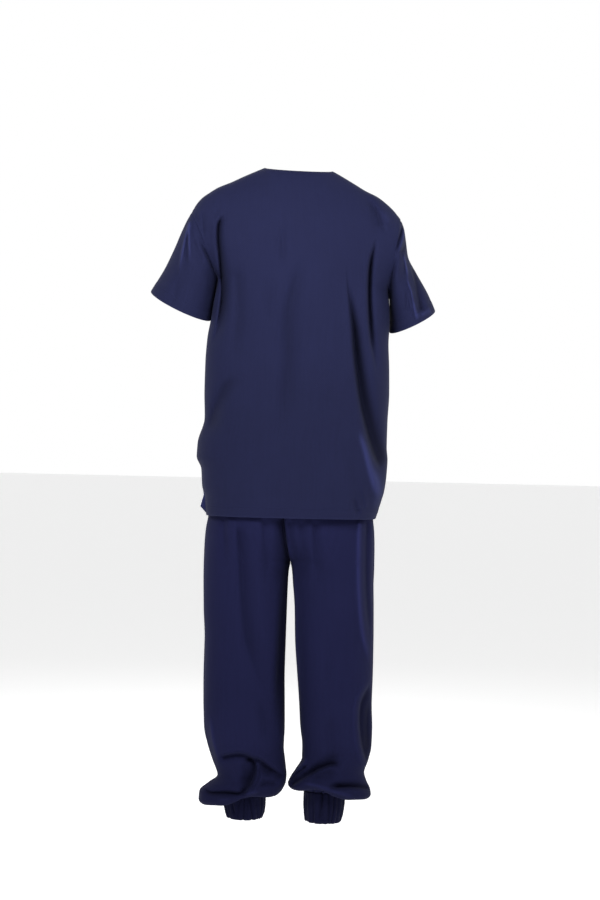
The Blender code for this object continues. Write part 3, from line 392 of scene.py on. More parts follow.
def seen(p):
    """Where points are seen from the camera, in mm on the plane y = 0."""
    k = EYE[1] / (EYE[1] - p[..., 1])
    return np.stack([EYE[0] + (p[..., 0] - EYE[0]) * k,
                     EYE[2] + (p[..., 2] - EYE[2]) * k], -1) * 1000.0


def normals(p, closed=False):
    if closed:
        across = np.roll(p, -1, 1) - np.roll(p, 1, 1)
    else:
        across = np.gradient(p, axis=1)
    along = np.gradient(p, axis=0)
    n = np.cross(across, along)
    return n / np.maximum(np.linalg.norm(n, axis=-1, keepdims=True), 1e-12)


def outward(p, closed=False, centre=None):
    """Unit normals of a grid, turned to face away from the body's middle."""
    n = normals(p, closed)
    mid = p.reshape(-1, 3).mean(0) if centre is None else np.array(centre)
    away = p - mid
    away[..., 2] *= 0.2
    return n if np.einsum("ijk,ijk->ij", n, away).mean() > 0 else -n


def sight(p):
    """Unit lines from the camera to the points."""
    d = p - np.array(EYE)
    return d / np.linalg.norm(d, axis=-1, keepdims=True)


def crease_move(q, face, creases):
    """How far each point is lifted (mm) by a table of creases, at the seen
    places q; face tells how much each point looks to that side. Also how deep
    in a fold it lies, without the rolls beside the creases."""
    move = np.zeros(q.shape[:2])
    fold = np.zeros(q.shape[:2])
    flat = q.reshape(-1, 2)
    for name, depth, w0, w1, roll, to, fin, fout, line in creases:
        path = rounded(line)
        reach = (3.0 + 0.6 * abs(to)) * max(w0, w1)
        lo, hi = path.min(0) - reach, path.max(0) + reach
        near = np.where(np.all((flat > lo) & (flat < hi), axis=1))[0]
        if not len(near):
            continue
        pts = flat[near]
        a, b = path[:-1], path[1:]
        seg = b - a
        size = (seg ** 2).sum(1)
        u = np.clip(np.einsum("nkj,kj->nk", pts[:, None] - a[None], seg) / size, 0, 1)
        gap = pts[:, None] - (a[None] + u[..., None] * seg[None])
        dist = (gap ** 2).sum(2)
        k = dist.argmin(1)
        i = np.arange(len(pts))
        t = (k + u[i, k]) / len(seg)
        g, s = gap[i, k], seg[k] / np.sqrt(size[k])[:, None]
        off = s[:, 0] * g[:, 1] - s[:, 1] * g[:, 0]
        off = np.sign(off) * np.sqrt(dist[i, k])
        w = w0 + (w1 - w0) * t
        fade = smooth(t / fin) * smooth((1 - t) / fout)
        steep = np.where(off * to > 0, 0.8 / abs(to), 1.0 + 0.25 * abs(to))
        lift = -depth * np.exp(-np.abs(off / (w * steep)) ** 1.8)
        fold.reshape(-1)[near] += lift * fade
        beside = (0.9 + 1.0 / abs(to)) * w
        lift += roll * np.exp(-((off - np.sign(to) * beside) / (1.15 * w)) ** 2)
        move.reshape(-1)[near] += lift * fade
    return move * face, fold * face


def painted_fold_shading(fold):
    """Painted shading: cloth deep in a fold is painted darker as painted shade, and a ridge is painted paler as a
    painted highlight.
    """
    return 1 - 0.56 * smooth(-fold / 23.0) + 1.30 * smooth(fold / 9.0)


def ease(p, weight, times, keep_cols=True):
    """Relax a grid where weight is set, keeping its edges."""
    w = weight[..., None]
    for _ in range(times):
        m = p.copy()
        m[1:-1, 1:-1] = (p[:-2, 1:-1] + p[2:, 1:-1] + p[1:-1, :-2] + p[1:-1, 2:]) / 4
        p = p + (m - p) * w
    return p


def undulate(p, seed, height=0.0009):
    """Slight unevenness of worn cloth, from a few long waves."""
    rng = np.random.default_rng(seed)
    out = np.zeros(p.shape[:2])
    for _ in range(7):
        k = rng.normal(size=3) * (26.0, 26.0, 13.0)
        out += np.sin(p @ k + rng.uniform(0, 6.28))
    return out * height / 2.6


def stations(length, step, edge):
    """Even stations along a length, with a few close ones at both ends."""
    inner = np.linspace(edge[-1], length - edge[-1], max(int(round((length - 2 * edge[-1]) / step)), 2) + 1)
    return np.concatenate([edge[:-1], inner, length - np.array(edge[:-1])[::-1]])


def arc_angles(start, stop, full, wide, deep, at):
    """Angles at the shares `at` (0 to 1) of the arc's length."""
    fine = np.linspace(start, stop, 1201)
    c, s = arc(fine, full)
    length = np.concatenate([[0], np.cumsum(np.hypot(np.diff(c * wide), np.diff(s * deep)))])
    return np.interp(np.asarray(at) * length[-1], length, fine)


def relaid(p, first, last, rows):
    """The same surface with its rows at set distances from both ends of each
    column, and even between them."""
    step = np.linalg.norm(np.diff(p, axis=0), axis=2)
    first, last = np.array(first), np.array(last)
    out = np.empty((rows, p.shape[1], 3))
    for j in range(p.shape[1]):
        s = np.concatenate([[0], np.cumsum(step[:, j])])
        tail = s[-1] - last[::-1]
        mid = np.linspace(first[-1], tail[0], rows - len(first) - len(last) + 2)[1:-1]
        want = np.concatenate([first, mid, tail])
        for k in range(3):
            out[:, j, k] = np.interp(want, s, p[:, j, k])
    return out


def run_lengths(p, axis, closed=False):
    """Distance along the rows or columns from their first point."""
    step = np.linalg.norm(np.diff(p, axis=axis), axis=2)
    zero = np.zeros((1, p.shape[1]) if axis == 0 else (p.shape[0], 1))
    return np.concatenate([zero, np.cumsum(step, axis)], axis)


def hem_lift(d, depth, thick=0.0006):
    """Turned hem: a doubled band with its stitched groove and rolled edge."""
    band = thick * (1 - smooth((d - depth + 0.0008) / 0.0018))
    groove = -0.0006 * np.exp(-((d - depth + 0.0018) / 0.0008) ** 2)
    edge = -0.0007 * np.exp(-(d / 0.0010) ** 2)
    return band + groove + edge


def seam_lift(d, deep=0.0008):
    """Groove of a sewn seam, and the slight swell of its allowances."""
    return -deep * np.exp(-(d / 0.0011) ** 2) + 0.0003 * np.exp(-((d - 0.0045) / 0.0025) ** 2)


# ------------------------------------------------------------------ the forms
def neck_angle():
    return np.arccos(NECK_SHARE ** (TOP_FULL / 2))


def top_line(phi, back):
    """Shoulder seam, neck edge, shoulder seam, from the left tip to the right."""
    c, s = arc(phi, TOP_FULL)
    slope_l = curve(*zip(*SLOPE_LEFT_ROWS))
    slope_r = curve(*zip(*SLOPE_RIGHT_ROWS))
    gap = SEAM / 2 if back else -SEAM / 2
    out = np.zeros((len(phi), 3))
    for j, cj in enumerate(c):
        if abs(cj) >= NECK_SHARE - 1e-9:
            k = (abs(cj) - NECK_SHARE) / (1 - NECK_SHARE)
            if cj > 0:
                x = NECK_LEFT[0] + (TIP_LEFT[0] - NECK_LEFT[0]) * k
                z = slope_l(x)
            else:
                x = -(-NECK_RIGHT[0] + (NECK_RIGHT[0] - TIP_RIGHT[0]) * k)
                z = slope_r(-x)
            y = TOP_SIDE_Y * k + gap
        else:
            u = cj / NECK_SHARE
            x = NECK_LEFT[0] * (1 + u) / 2 + NECK_RIGHT[0] * (1 - u) / 2
            zn = NECK_LEFT[1] * (1 + u) / 2 + NECK_RIGHT[1] * (1 - u) / 2
            if back:
                bow = (1 - abs(u) ** 2.2) ** (1 / 2.2)
                y = gap + (NECK_BACK_Y - gap) * bow
                z = zn + (NECK_BACK_Z + 0.0007) * bow
            else:
                deep = (1 - abs(u)) ** 0.94
                z = zn + (V_POINT_Z - zn) * deep
                y = gap + (V_POINT_Y - gap) * (1 - (1 - deep) ** 2.2) ** (1 / 2.2)
        out[j] = (x, y, z)
    return out


def top_panel(back, phi, low_rows, taus):
    """Grid of the front or back panel: straight rows up to the armpits, then
    rows that fan out to the shoulder line."""
    t = columns(TOP, TOP_ROWS, "z")
    tag = "_b" if back else "_f"
    way = 1.0 if back else -1.0
    depth = t["back"] if back else t["front"]
    c, s = arc(phi, TOP_FULL)
    grid = []
    for z in low_rows:
        left, right = t["left" + tag](z), t["right" + tag](z)
        mid, half = (left + right) / 2, (left - right) / 2
        y = TOP_SIDE_Y + way * SEAM / 2 + (depth(z) - TOP_SIDE_Y - way * SEAM / 2) * s
        zz = np.full(len(phi), float(z))
        grid.append(np.stack([mid + half * c, y, zz], 1))
    base_z = (ARMPIT_LEFT[1] * (1 + c) + ARMPIT_RIGHT[1] * (1 - c)) / 2
    base_x = (ARMPIT_LEFT[0] * (1 + c) + ARMPIT_RIGHT[0] * (1 - c)) / 2
    top = top_line(phi, back)
    hole = ARMHOLE_BACK if back else ARMHOLE_FRONT
    for tau in taus:
        h = np.sqrt(max(1 - tau ** ROUND_OVER, 0.0))
        x = base_x + (top[:, 0] - base_x) * tau
        z = base_z + (top[:, 2] - base_z) * tau
        edge = 2 * hole * np.sqrt(max(tau * (1 - tau), 0.0))
        full = abs(depth(base_z) - TOP_SIDE_Y)
        hug = (1 - s) ** (1.4 + 1.2 * (1 - tau) ** 2)
        y = (top[:, 1] - TOP_SIDE_Y) * way * (1 - h) + edge * hug + full * h * s
        y = np.maximum(y, np.minimum(SEAM / 2, (top[:, 1] - TOP_SIDE_Y) * way))
        grid.append(np.stack([x, TOP_SIDE_Y + way * y, z], 1))
    return np.array(grid)


def sleeve_tube(rows, ts, phi):
    """Rings from the armhole to the sleeve hem."""
    t = columns(SLEEVE, rows, "t")
    grid = []
    for v in ts:
        q = {k: f(v) for k, f in t.items()}
        c, s = np.cos(phi), np.sin(phi)
        x = (q["xo"] + q["xi"]) / 2 + (q["xo"] - q["xi"]) / 2 * c
        z = (q["zo"] + q["zi"]) / 2 + (q["zo"] - q["zi"]) / 2 * c
        y = q["mid"] + np.where(s > 0, (q["back"] - q["mid"]) * s, (q["mid"] - q["front"]) * s)
        z = z - q["sag"] * np.clip(s, 0, 1)
        grid.append(np.stack([x, y, z], 1))
    return np.array(grid)


def leg_panel(rows, back, steps, at):
    """Grid of one leg panel, from its side seam round to the inseam; above the
    crotch it ends at the centre seam instead."""
    t = columns(LEG, rows)
    way = 1.0 if back else -1.0
    outer = 1.0 if rows[0][1] > 0 else -1.0
    grid = []
    for v in steps:
        q = {k: f(v) for k, f in t.items()}
        turn = np.radians(q["turn"])
        depth = q["back"] if back else q["front"]
        phi = arc_angles(0, turn, q["full"], 0.09, abs(depth), at)
        c, s = arc(phi, q["full"])
        c_end = c[-1]
        part = np.clip((q["turn"] - 90.0) / 45.0, 0, 1)
        xi = q["xi"] + outer * (SEAM / 2 + (CLOTH / 2 + 0.0001) * part) if q["turn"] < 179.9 else q["xi"]
        mid = (xi - q["xo"] * c_end) / (1 - c_end)
        seam = q["mid"] + way * SEAM / 2
        y = seam + (depth - seam) * s
        sag = np.clip((c + 0.25) / 0.8, 0, 1)
        sag = 0.7 * sag * sag * (3 - 2 * sag) + 0.3 * np.clip((c - 0.5) / 0.5, 0, 1) ** 2
        lifted = np.exp(-((c - LIFT_AT) / LIFT_WIDE) ** 2) * s
        z = q["z"] - q["drop"] * sag + q["rise"] * lifted
        grid.append(np.stack([mid + (q["xo"] - mid) * c, y, z], 1))
    return np.array(grid)


def leg_steps(rows, coarse, fine, below):
    """Steps along the table that part the rows evenly, closer below a height."""
    t = columns(LEG, rows)
    v = np.linspace(0, len(rows) - 1, 4001)
    q = {k: t[k](v) for k in ("z", "xo", "back")}
    size = np.sqrt(np.diff(q["z"]) ** 2 + np.diff(q["xo"]) ** 2 + np.diff(q["back"]) ** 2)
    weight = np.where(q["z"][1:] < below, 1 / fine, 1 / coarse)
    run = np.concatenate([[0], np.cumsum(size * weight)])
    return np.interp(np.linspace(0, run[-1], int(run[-1]) + 1), run, v)


def ring_band(rows, steps, count, full):
    t = columns(RING, rows)
    phi = np.linspace(0, 2 * np.pi, count, endpoint=False)
    grid = []
    for v in steps:
        q = {k: f(v) for k, f in t.items()}
        c, s = arc(phi, full)
        s = s * np.sign(np.sin(phi))
        mx, hx = (q["xo"] + q["xi"]) / 2, (q["xo"] - q["xi"]) / 2
        my, hy = (q["back"] + q["front"]) / 2, (q["back"] - q["front"]) / 2
        grid.append(np.stack([mx + hx * c, my + hy * s, np.full(count, float(q["z"]))], 1))
    return np.array(grid)


# ------------------------------------------------------------------ materials
def cloth_material(name, colour, deep, sheen, shine, pitch=1500.0):
    """Twill: diagonal ribs, uneven yarns, faint colour drift and worn edges."""
    mat = bpy.data.materials.new(name)
    mat.use_nodes = True
    nt = mat.node_tree
    bsdf = nt.nodes["Principled BSDF"]
    bsdf.inputs["Roughness"].default_value = 0.80
    bsdf.inputs["Specular IOR Level"].default_value = shine
    bsdf.inputs["Sheen Weight"].default_value = sheen
    bsdf.inputs["Sheen Roughness"].default_value = 0.45
    bsdf.inputs["Sheen Tint"].default_value = (0.62, 0.68, 1.0, 1.0)

    def node(kind, **values):
        n = nt.nodes.new(kind)
        for key, value in values.items():
            setattr(n, key, value)
        return n

    def wire(a, out, b, into):
        nt.links.new(a.outputs[out], b.inputs[into])

    uv = node("ShaderNodeUVMap", uv_map="weave")
    place = node("ShaderNodeTexCoord")
    yarn = node("ShaderNodeTexNoise", noise_dimensions="2D")
    yarn.inputs["Scale"].default_value = 900.0
    yarn.inputs["Detail"].default_value = 2.0
    wire(uv, "UV", yarn, "Vector")
    ribs = node("ShaderNodeTexWave", wave_type="BANDS", bands_direction="DIAGONAL", wave_profile="SIN")
    ribs.inputs["Scale"].default_value = pitch / (2 * math.pi) * 0.55
    ribs.inputs["Distortion"].default_value = 0.8
    ribs.inputs["Detail"].default_value = 1.0
    ribs.inputs["Detail Scale"].default_value = 2.5
    wire(uv, "UV", ribs, "Vector")
    cross = node("ShaderNodeTexWave", wave_type="BANDS", bands_direction="X", wave_profile="SIN")
    cross.inputs["Scale"].default_value = pitch / (2 * math.pi) * 1.1
    cross.inputs["Distortion"].default_value = 0.3
    wire(uv, "UV", cross, "Vector")
    weave = node("ShaderNodeMix", data_type="FLOAT")
    weave.inputs["Factor"].default_value = 0.28
    wire(ribs, "Fac", weave, 2)
    wire(cross, "Fac", weave, 3)
    grain = node("ShaderNodeMath", operation="MULTIPLY_ADD")
    grain.inputs[1].default_value = 0.35
    wire(yarn, "Fac", grain, 0)
    wire(weave, 0, grain, 2)

    drift = node("ShaderNodeTexNoise", noise_dimensions="3D")
    drift.inputs["Scale"].default_value = 5.5
    drift.inputs["Detail"].default_value = 3.0
    drift.inputs["Roughness"].default_value = 0.55
    wire(place, "Object", drift, "Vector")
    streak = node("ShaderNodeTexNoise", noise_dimensions="2D")
    streak.inputs["Scale"].default_value = 1.0
    streak.inputs["Detail"].default_value = 2.0
    stretch = node("ShaderNodeMapping")
    stretch.inputs["Scale"].default_value = (240.0, 9.0, 1.0)
    wire(uv, "UV", stretch, "Vector")
    wire(stretch, "Vector", streak, "Vector")

    ground = node("ShaderNodeMix", data_type="RGBA")
    ground.inputs["A"].default_value = deep + (1.0,)
    ground.inputs["B"].default_value = colour + (1.0,)
    tone = node("ShaderNodeMapRange")
    tone.inputs["From Min"].default_value = 0.15
    tone.inputs["From Max"].default_value = 1.05
    tone.inputs["To Min"].default_value = 0.55
    tone.inputs["To Max"].default_value = 1.0
    wire(grain, 0, tone, "Value")
    wire(tone, "Result", ground, "Factor")

    vary = node("ShaderNodeMapRange")
    vary.inputs["From Min"].default_value = 0.30
    vary.inputs["From Max"].default_value = 0.70
    vary.inputs["To Min"].default_value = 0.94
    vary.inputs["To Max"].default_value = 1.06
    wire(drift, "Fac", vary, "Value")
    vary2 = node("ShaderNodeMapRange")
    vary2.inputs["From Min"].default_value = 0.30
    vary2.inputs["From Max"].default_value = 0.70
    vary2.inputs["To Min"].default_value = 0.97
    vary2.inputs["To Max"].default_value = 1.03
    wire(streak, "Fac", vary2, "Value")
    both = node("ShaderNodeMath", operation="MULTIPLY")
    wire(vary, "Result", both, 0)
    wire(vary2, "Result", both, 1)
    # painted shade and painted highlight, kept per point: the painted fall of light from above, the folds' painted
    # shading, the seat's painted shadow and the flap's painted light
    painted_shade = node("ShaderNodeAttribute", attribute_name="painted_shade")
    all_three = node("ShaderNodeMath", operation="MULTIPLY")
    wire(both, 0, all_three, 0)
    wire(painted_shade, "Fac", all_three, 1)
    tinted = node("ShaderNodeVectorMath", operation="SCALE")
    wire(ground, "Result", tinted, 0)
    wire(all_three, 0, tinted, "Scale")

    edge = node("ShaderNodeAttribute", attribute_name="wear")
    rub = node("ShaderNodeMath", operation="MULTIPLY")
    wire(edge, "Fac", rub, 0)
    fray = node("ShaderNodeTexNoise", noise_dimensions="3D")
    fray.inputs["Scale"].default_value = 160.0
    wire(place, "Object", fray, "Vector")
    wire(fray, "Fac", rub, 1)
    worn = node("ShaderNodeMix", data_type="RGBA")
    worn.inputs["B"].default_value = tuple(min(1.0, 2.3 * c + 0.008) for c in colour) + (1.0,)
    wire(rub, 0, worn, "Factor")
    wire(tinted, 0, worn, "A")
    wire(worn, "Result", bsdf, "Base Color")

    rough = node("ShaderNodeMapRange")
    rough.inputs["To Min"].default_value = 0.74
    rough.inputs["To Max"].default_value = 0.90
    wire(grain, 0, rough, "Value")
    wire(rough, "Result", bsdf, "Roughness")

    bump = node("ShaderNodeBump")
    bump.inputs["Strength"].default_value = 0.55
    bump.inputs["Distance"].default_value = 0.00018
    wire(grain, 0, bump, "Height")
    pucker = node("ShaderNodeTexNoise", noise_dimensions="3D")
    pucker.inputs["Scale"].default_value = 42.0
    pucker.inputs["Detail"].default_value = 2.0
    wire(place, "Object", pucker, "Vector")
    bump2 = node("ShaderNodeBump")
    bump2.inputs["Strength"].default_value = 0.35
    bump2.inputs["Distance"].default_value = 0.0012
    wire(pucker, "Fac", bump2, "Height")
    wire(bump2, "Normal", bump, "Normal")
    wire(bump, "Normal", bsdf, "Normal")
    return mat


def thread_material(name, colour):
    """Polyester thread: two twisted plies."""
    mat = bpy.data.materials.new(name)
    mat.use_nodes = True
    nt = mat.node_tree
    bsdf = nt.nodes["Principled BSDF"]
    bsdf.inputs["Roughness"].default_value = 0.5
    bsdf.inputs["Sheen Weight"].default_value = 0.3
    place = nt.nodes.new("ShaderNodeTexCoord")
    ply = nt.nodes.new("ShaderNodeTexWave")
    ply.bands_direction = "DIAGONAL"
    ply.inputs["Scale"].default_value = 420.0
    nt.links.new(place.outputs["Object"], ply.inputs["Vector"])
    mix = nt.nodes.new("ShaderNodeMix")
    mix.data_type = "RGBA"
    mix.inputs["A"].default_value = tuple(0.7 * c for c in colour) + (1.0,)
    mix.inputs["B"].default_value = colour + (1.0,)
    nt.links.new(ply.outputs["Fac"], mix.inputs["Factor"])
    nt.links.new(mix.outputs["Result"], bsdf.inputs["Base Color"])
    bump = nt.nodes.new("ShaderNodeBump")
    bump.inputs["Strength"].default_value = 0.5
    bump.inputs["Distance"].default_value = 0.0001
    nt.links.new(ply.outputs["Fac"], bump.inputs["Height"])
    nt.links.new(bump.outputs["Normal"], bsdf.inputs["Normal"])
    return mat


TOP_TWILL = cloth_material("top_twill", (0.0115, 0.0136, 0.0470), (0.0081, 0.0096, 0.0340), 0.02, 0.10)
LEG_TWILL = cloth_material("trouser_twill", (0.0118, 0.0130, 0.0500), (0.0083, 0.0092, 0.0365), 0.02, 0.05)
CUFF_RIB = cloth_material("cuff_elastic", (0.0086, 0.0095, 0.0380), (0.0060, 0.0066, 0.0270), 0.02, 0.05, 1900.0)
THREAD = thread_material("thread_navy", (0.0160, 0.0185, 0.0600))

looks = bpy.data.collections.new("medical_scrubs_looks")
bpy.context.scene.collection.children.link(looks)


# --------------------------------------------------------------- the builders
def painted_falloff_from_above(z):
    """Painted shade of the light from above: the set is painted a little paler at the shoulders and darker towards the
    ankles.
    """
    return np.interp(z, [-1.42, -1.36, -1.25, -0.80, -0.76, -0.50, -0.30, 0.0], [0.56, 0.60, 0.76, 0.86, 0.88, 0.91, 0.96, 1.0])


def shell(name, node, mat, p, wear, tone, closed=False, thick=CLOTH):
    """A thin sheet of cloth through the grid p, attached to the body's root, with its solid hidden."""
    rows, cols = p.shape[:2]
    wide = cols if closed else cols - 1
    i, j = np.meshgrid(np.arange(rows - 1), np.arange(wide), indexing="ij")
    k = (j + 1) % cols
    quads = np.stack([i * cols + j, i * cols + k, (i + 1) * cols + k, (i + 1) * cols + j], -1).reshape(-1, 4)
    n = outward(p, closed)
    v = p.reshape(-1, 3)
    first = quads[0]
    face_n = np.cross(v[first[1]] - v[first[0]], v[first[3]] - v[first[0]])
    if np.dot(face_n, n.reshape(-1, 3)[first[0]]) < 0:
        quads = quads[:, ::-1]
    mesh = bpy.data.meshes.new(name)
    mesh.vertices.add(len(v))
    mesh.vertices.foreach_set("co", v.astype(np.float32).ravel())
    mesh.loops.add(quads.size)
    mesh.loops.foreach_set("vertex_index", quads.astype(np.int32).ravel())
    mesh.polygons.add(len(quads))
    mesh.polygons.foreach_set("loop_start", np.arange(0, quads.size, 4, dtype=np.int32))
    mesh.polygons.foreach_set("use_smooth", np.ones(len(quads), dtype=bool))
    mesh.update(calc_edges=True)
    # weave coordinates in metres
    ring = np.concatenate([p, p[:, :1]], 1) if closed else p
    across = run_lengths(ring, 1)
    across = across - across[:, across.shape[1] // 2][:, None]
    down = run_lengths(ring, 0)
    corner_i = np.stack([i, i, i + 1, i + 1], -1).reshape(-1, 4)
    corner_j = np.stack([j, j + 1, j + 1, j], -1).reshape(-1, 4)
    if (quads[0] != np.stack([i * cols + j, i * cols + k, (i + 1) * cols + k, (i + 1) * cols + j], -1).reshape(-1, 4)[0]).any():
        corner_i, corner_j = corner_i[:, ::-1], corner_j[:, ::-1]
    uv = np.stack([across[corner_i, corner_j], down[corner_i, corner_j]], -1)
    layer = mesh.uv_layers.new(name="weave")
    layer.uv.foreach_set("vector", uv.astype(np.float32).ravel())
    rubbed = mesh.attributes.new("wear", "FLOAT", "POINT")
    rubbed.data.foreach_set("value", wear.astype(np.float32).ravel())
    # painted shade per point: the painted fall of light from above times the painted shading of folds, seat and flap
    painted_shade = mesh.attributes.new("painted_shade", "FLOAT", "POINT")
    painted_shade.data.foreach_set("value", (painted_falloff_from_above(v[:, 2]) * tone.ravel()).astype(np.float32))
    mesh.materials.append(mat)
    obj = bpy.data.objects.new(name, mesh)
    looks.objects.link(obj)
    mod = obj.modifiers.new("cloth", "SOLIDIFY")
    mod.thickness = thick
    mod.offset = 0.0
    mod.use_even_offset = False
    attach(obj, "root")
    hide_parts(node)
    return obj


def stitches(name, runs, radius=0.00022):
    """Rows of stitches: small rounded threads along paths on the cloth.
    runs is a list of (points, normals)."""
    verts, faces = [], []
    for path, norm in runs:
        s = np.concatenate([[0], np.cumsum(np.linalg.norm(np.diff(path, axis=0), axis=1))])
        at = np.arange(0.001, s[-1] - STITCH, STITCH + STITCH_GAP)
        for a in at:
            ends = []
            for d in (0.0, 0.18, 0.82, 1.0):
                t = a + STITCH * d
                c = np.array([np.interp(t, s, path[:, k]) for k in range(3)])
                n = np.array([np.interp(t, s, norm[:, k]) for k in range(3)])
                n /= np.linalg.norm(n)
                ends.append((c, n, 0.25 if d in (0.0, 1.0) else 1.0))
            along = ends[-1][0] - ends[0][0]
            along /= np.linalg.norm(along)
            base = len(verts)
            for c, n, r in ends:
                side = np.cross(n, along)
                side /= np.linalg.norm(side)
                lift = radius * (0.1 if r < 1 else 0.8)
                for ang in range(4):
                    q = c + n * lift + radius * r * (math.cos(ang * math.pi / 2) * side + math.sin(ang * math.pi / 2) * n)
                    verts.append(tuple(q))
            for m in range(3):
                for ang in range(4):
                    a0, a1 = base + 4 * m + ang, base + 4 * m + (ang + 1) % 4
                    faces.append((a0, a1, a1 + 4, a0 + 4))
            faces.append(tuple(base + q for q in (3, 2, 1, 0)))
            faces.append(tuple(base + 12 + q for q in (0, 1, 2, 3)))
    mesh = bpy.data.meshes.new(name)
    mesh.from_pydata(verts, [], faces)
    mesh.update()
    for poly in mesh.polygons:
        poly.use_smooth = True
    mesh.materials.append(THREAD)
    obj = bpy.data.objects.new(name, mesh)
    looks.objects.link(obj)
    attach(obj, "root")
    return obj


def along_row(p, n, d, closed=False):
    """The path on the sheet at distance d from its first row."""
    if d < 0:
        p, n, d = p[::-1], n[::-1], -d
    s = run_lengths(p, 0)
    out, nor = [], []
    for j in range(p.shape[1]):
        out.append([np.interp(d, s[:, j], p[:, j, k]) for k in range(3)])
        nor.append([np.interp(d, s[:, j], n[:, j, k]) for k in range(3)])
    out, nor = np.array(out), np.array(nor)
    if closed:
        out, nor = np.vstack([out, out[:1]]), np.vstack([nor, nor[:1]])
    return out, nor / np.linalg.norm(nor, axis=1, keepdims=True)


# ------------------------------------------------------------------- the top
HEM_ROWS = [0.0, 0.0008, 0.0020, 0.0045, 0.0080, 0.0120, 0.0160, 0.0188, 0.0199, 0.0206, 0.0213, 0.0222, 0.0236, 0.0260]
EDGE_ROWS = [0.0, 0.0009, 0.0020, 0.0036, 0.0054, 0.0064, 0.0070, 0.0077, 0.0088, 0.0110]
SEAM_ROWS = [0.0, 0.0009, 0.0020, 0.0040]
EDGE_COLS = [0.0, 0.0009, 0.0021, 0.0042]

nk = neck_angle()


def top_angles(step):
    """Even angles round a panel, with close ones at the side seams and exact
    ones at the two neck corners."""
    fine = np.linspace(0, np.pi, 4001)
    c, s = arc(fine, TOP_FULL)
    run = np.concatenate([[0], np.cumsum(np.hypot(np.diff(c * 0.193), np.diff(s * 0.122)))])
    corner = np.interp(nk, fine, run)
    side = np.linspace(EDGE_COLS[-1], corner, int(round((corner - EDGE_COLS[-1]) / step)) + 1)
    mid = np.linspace(corner, run[-1] - corner, int(round((run[-1] - 2 * corner) / step)) + 1)
    at = np.concatenate([EDGE_COLS[:-1], side, mid[1:-1], run[-1] - side[::-1], run[-1] - np.array(EDGE_COLS[:-1])[::-1]])
    return np.interp(at, run, fine)


def top_sheet(back, step, rows, creases, seed):
    phi = top_angles(step)
    low = np.linspace(-0.7630, -0.2560, 220)
    taus = (1 - np.cos(np.pi * np.arange(150) / 149)) / 2
    p = top_panel(back, phi, low, taus)
    c, _ = arc(phi, TOP_FULL)
    z = p[:, len(phi) // 2, 2]
    near = np.exp(-((p[..., 2] + 0.258) / 0.022) ** 2) * 0.9
    high = np.clip(np.linspace(0, 1, len(p)) * 370 / 160 - 1.32, 0, 1)[:, None]
    corner = np.exp(-((np.abs(c) - NECK_SHARE) / 0.15) ** 2)[None, :]
    below = smooth((p[-1][None, :, 2] - p[..., 2] - 0.004) / 0.02)
    p = ease(p, np.clip(near + smooth(high) * corner * below, 0, 1), 160)
    p = relaid(p, HEM_ROWS, EDGE_ROWS, rows)
    toward = 1.0 if back else -1.0
    n = outward(p)
    face = smooth((n[..., 1] * toward + 0.05) / 0.30)
    move, fold = crease_move(seen(p), face, creases)
    move *= 0.001
    d0, d1 = run_lengths(p, 0), run_lengths(p[::-1], 0)[::-1]
    e0, e1 = run_lengths(p, 1), run_lengths(p[:, ::-1], 1)[:, ::-1]
    # front and back keep to each other along the shoulder seams
    held = np.where(np.abs(c)[None, :] < NECK_SHARE, smooth(d1 / 0.03) if back else 1.0, smooth(d1 / 0.010))
    fade = smooth((np.minimum(e0, e1) + 0.003) / 0.012) * held
    p = p - sight(p) * (move * fade * toward)[..., None] + n * (undulate(p, seed) * fade)[..., None]
    flap_painted_light = np.zeros(p.shape[:2])
    if not back:
        # below the vent the front's edge turns out past the back's edge, and
        # its corner hangs higher than the hem
        t = columns(TOP, TOP_ROWS, "z")
        z = p[..., 2]
        low = np.clip((VENT[0] - z) / (VENT[0] - VENT[1]), 0, 1)
        root = t["left_b"](z) - 0.0016
        wide = np.clip(t["left_f"](z) - root, 1e-4, None)
        u = np.clip(e0 / FLARE, 0, 1)
        x = root + wide * (1 - u) ** 1.4
        y = TOP_SIDE_Y - 0.0040 - 0.0050 * (1 - u) ** 1.4 - 0.0055 * u ** 3 - np.clip(e0 - FLARE, 0, None)
        turn = smooth((FLARE_EASE - e0) / (FLARE_EASE - FLARE)) * smooth(low / 0.12)
        p[..., 0] += (x - p[..., 0]) * turn
        p[..., 1] += (y - p[..., 1]) * turn
        p[..., 2] += CORNER_RISE * low ** 1.5 * (1 - u) ** 1.5
        # painted light: the inside of the flap is painted up to 2.6 times lighter, as if lit
        flap_painted_light = smooth(low / 0.12) * (1 - u)
    n = outward(p)
    neck = (np.abs(c) < NECK_SHARE + 1e-6)[None, :]
    lift = hem_lift(d0, HEM_TOP)
    lift += np.where(neck, hem_lift(d1, HEM_NECK, 0.0005), seam_lift(d1))
    lift += seam_lift(np.minimum(e0, e1))
    p = p + n * lift[..., None]
    wear = 0.55 * np.exp(-(d0 / 0.0015) ** 2) + np.where(neck, 0.5 * np.exp(-(d1 / 0.0015) ** 2), 0)
    # colour factor: painted shading of the folds and painted light on the vent's flap
    return p, outward(p), wear, c, painted_fold_shading(fold * fade) * (1 + 1.6 * flap_painted_light)


top_back, n_back, wear, c_back, tone = top_sheet(True, 0.0020, 165, TOP_BACK_CREASES, 11)
back_obj = shell("Top_Back", "top_back", TOP_TWILL, top_back, wear, tone)
top_front, n_front, wear, c_front, tone = top_sheet(False, 0.0040, 175, TOP_FRONT_CREASES, 12)
front_obj = shell("Top_Front", "top_front", TOP_TWILL, top_front, wear, tone)


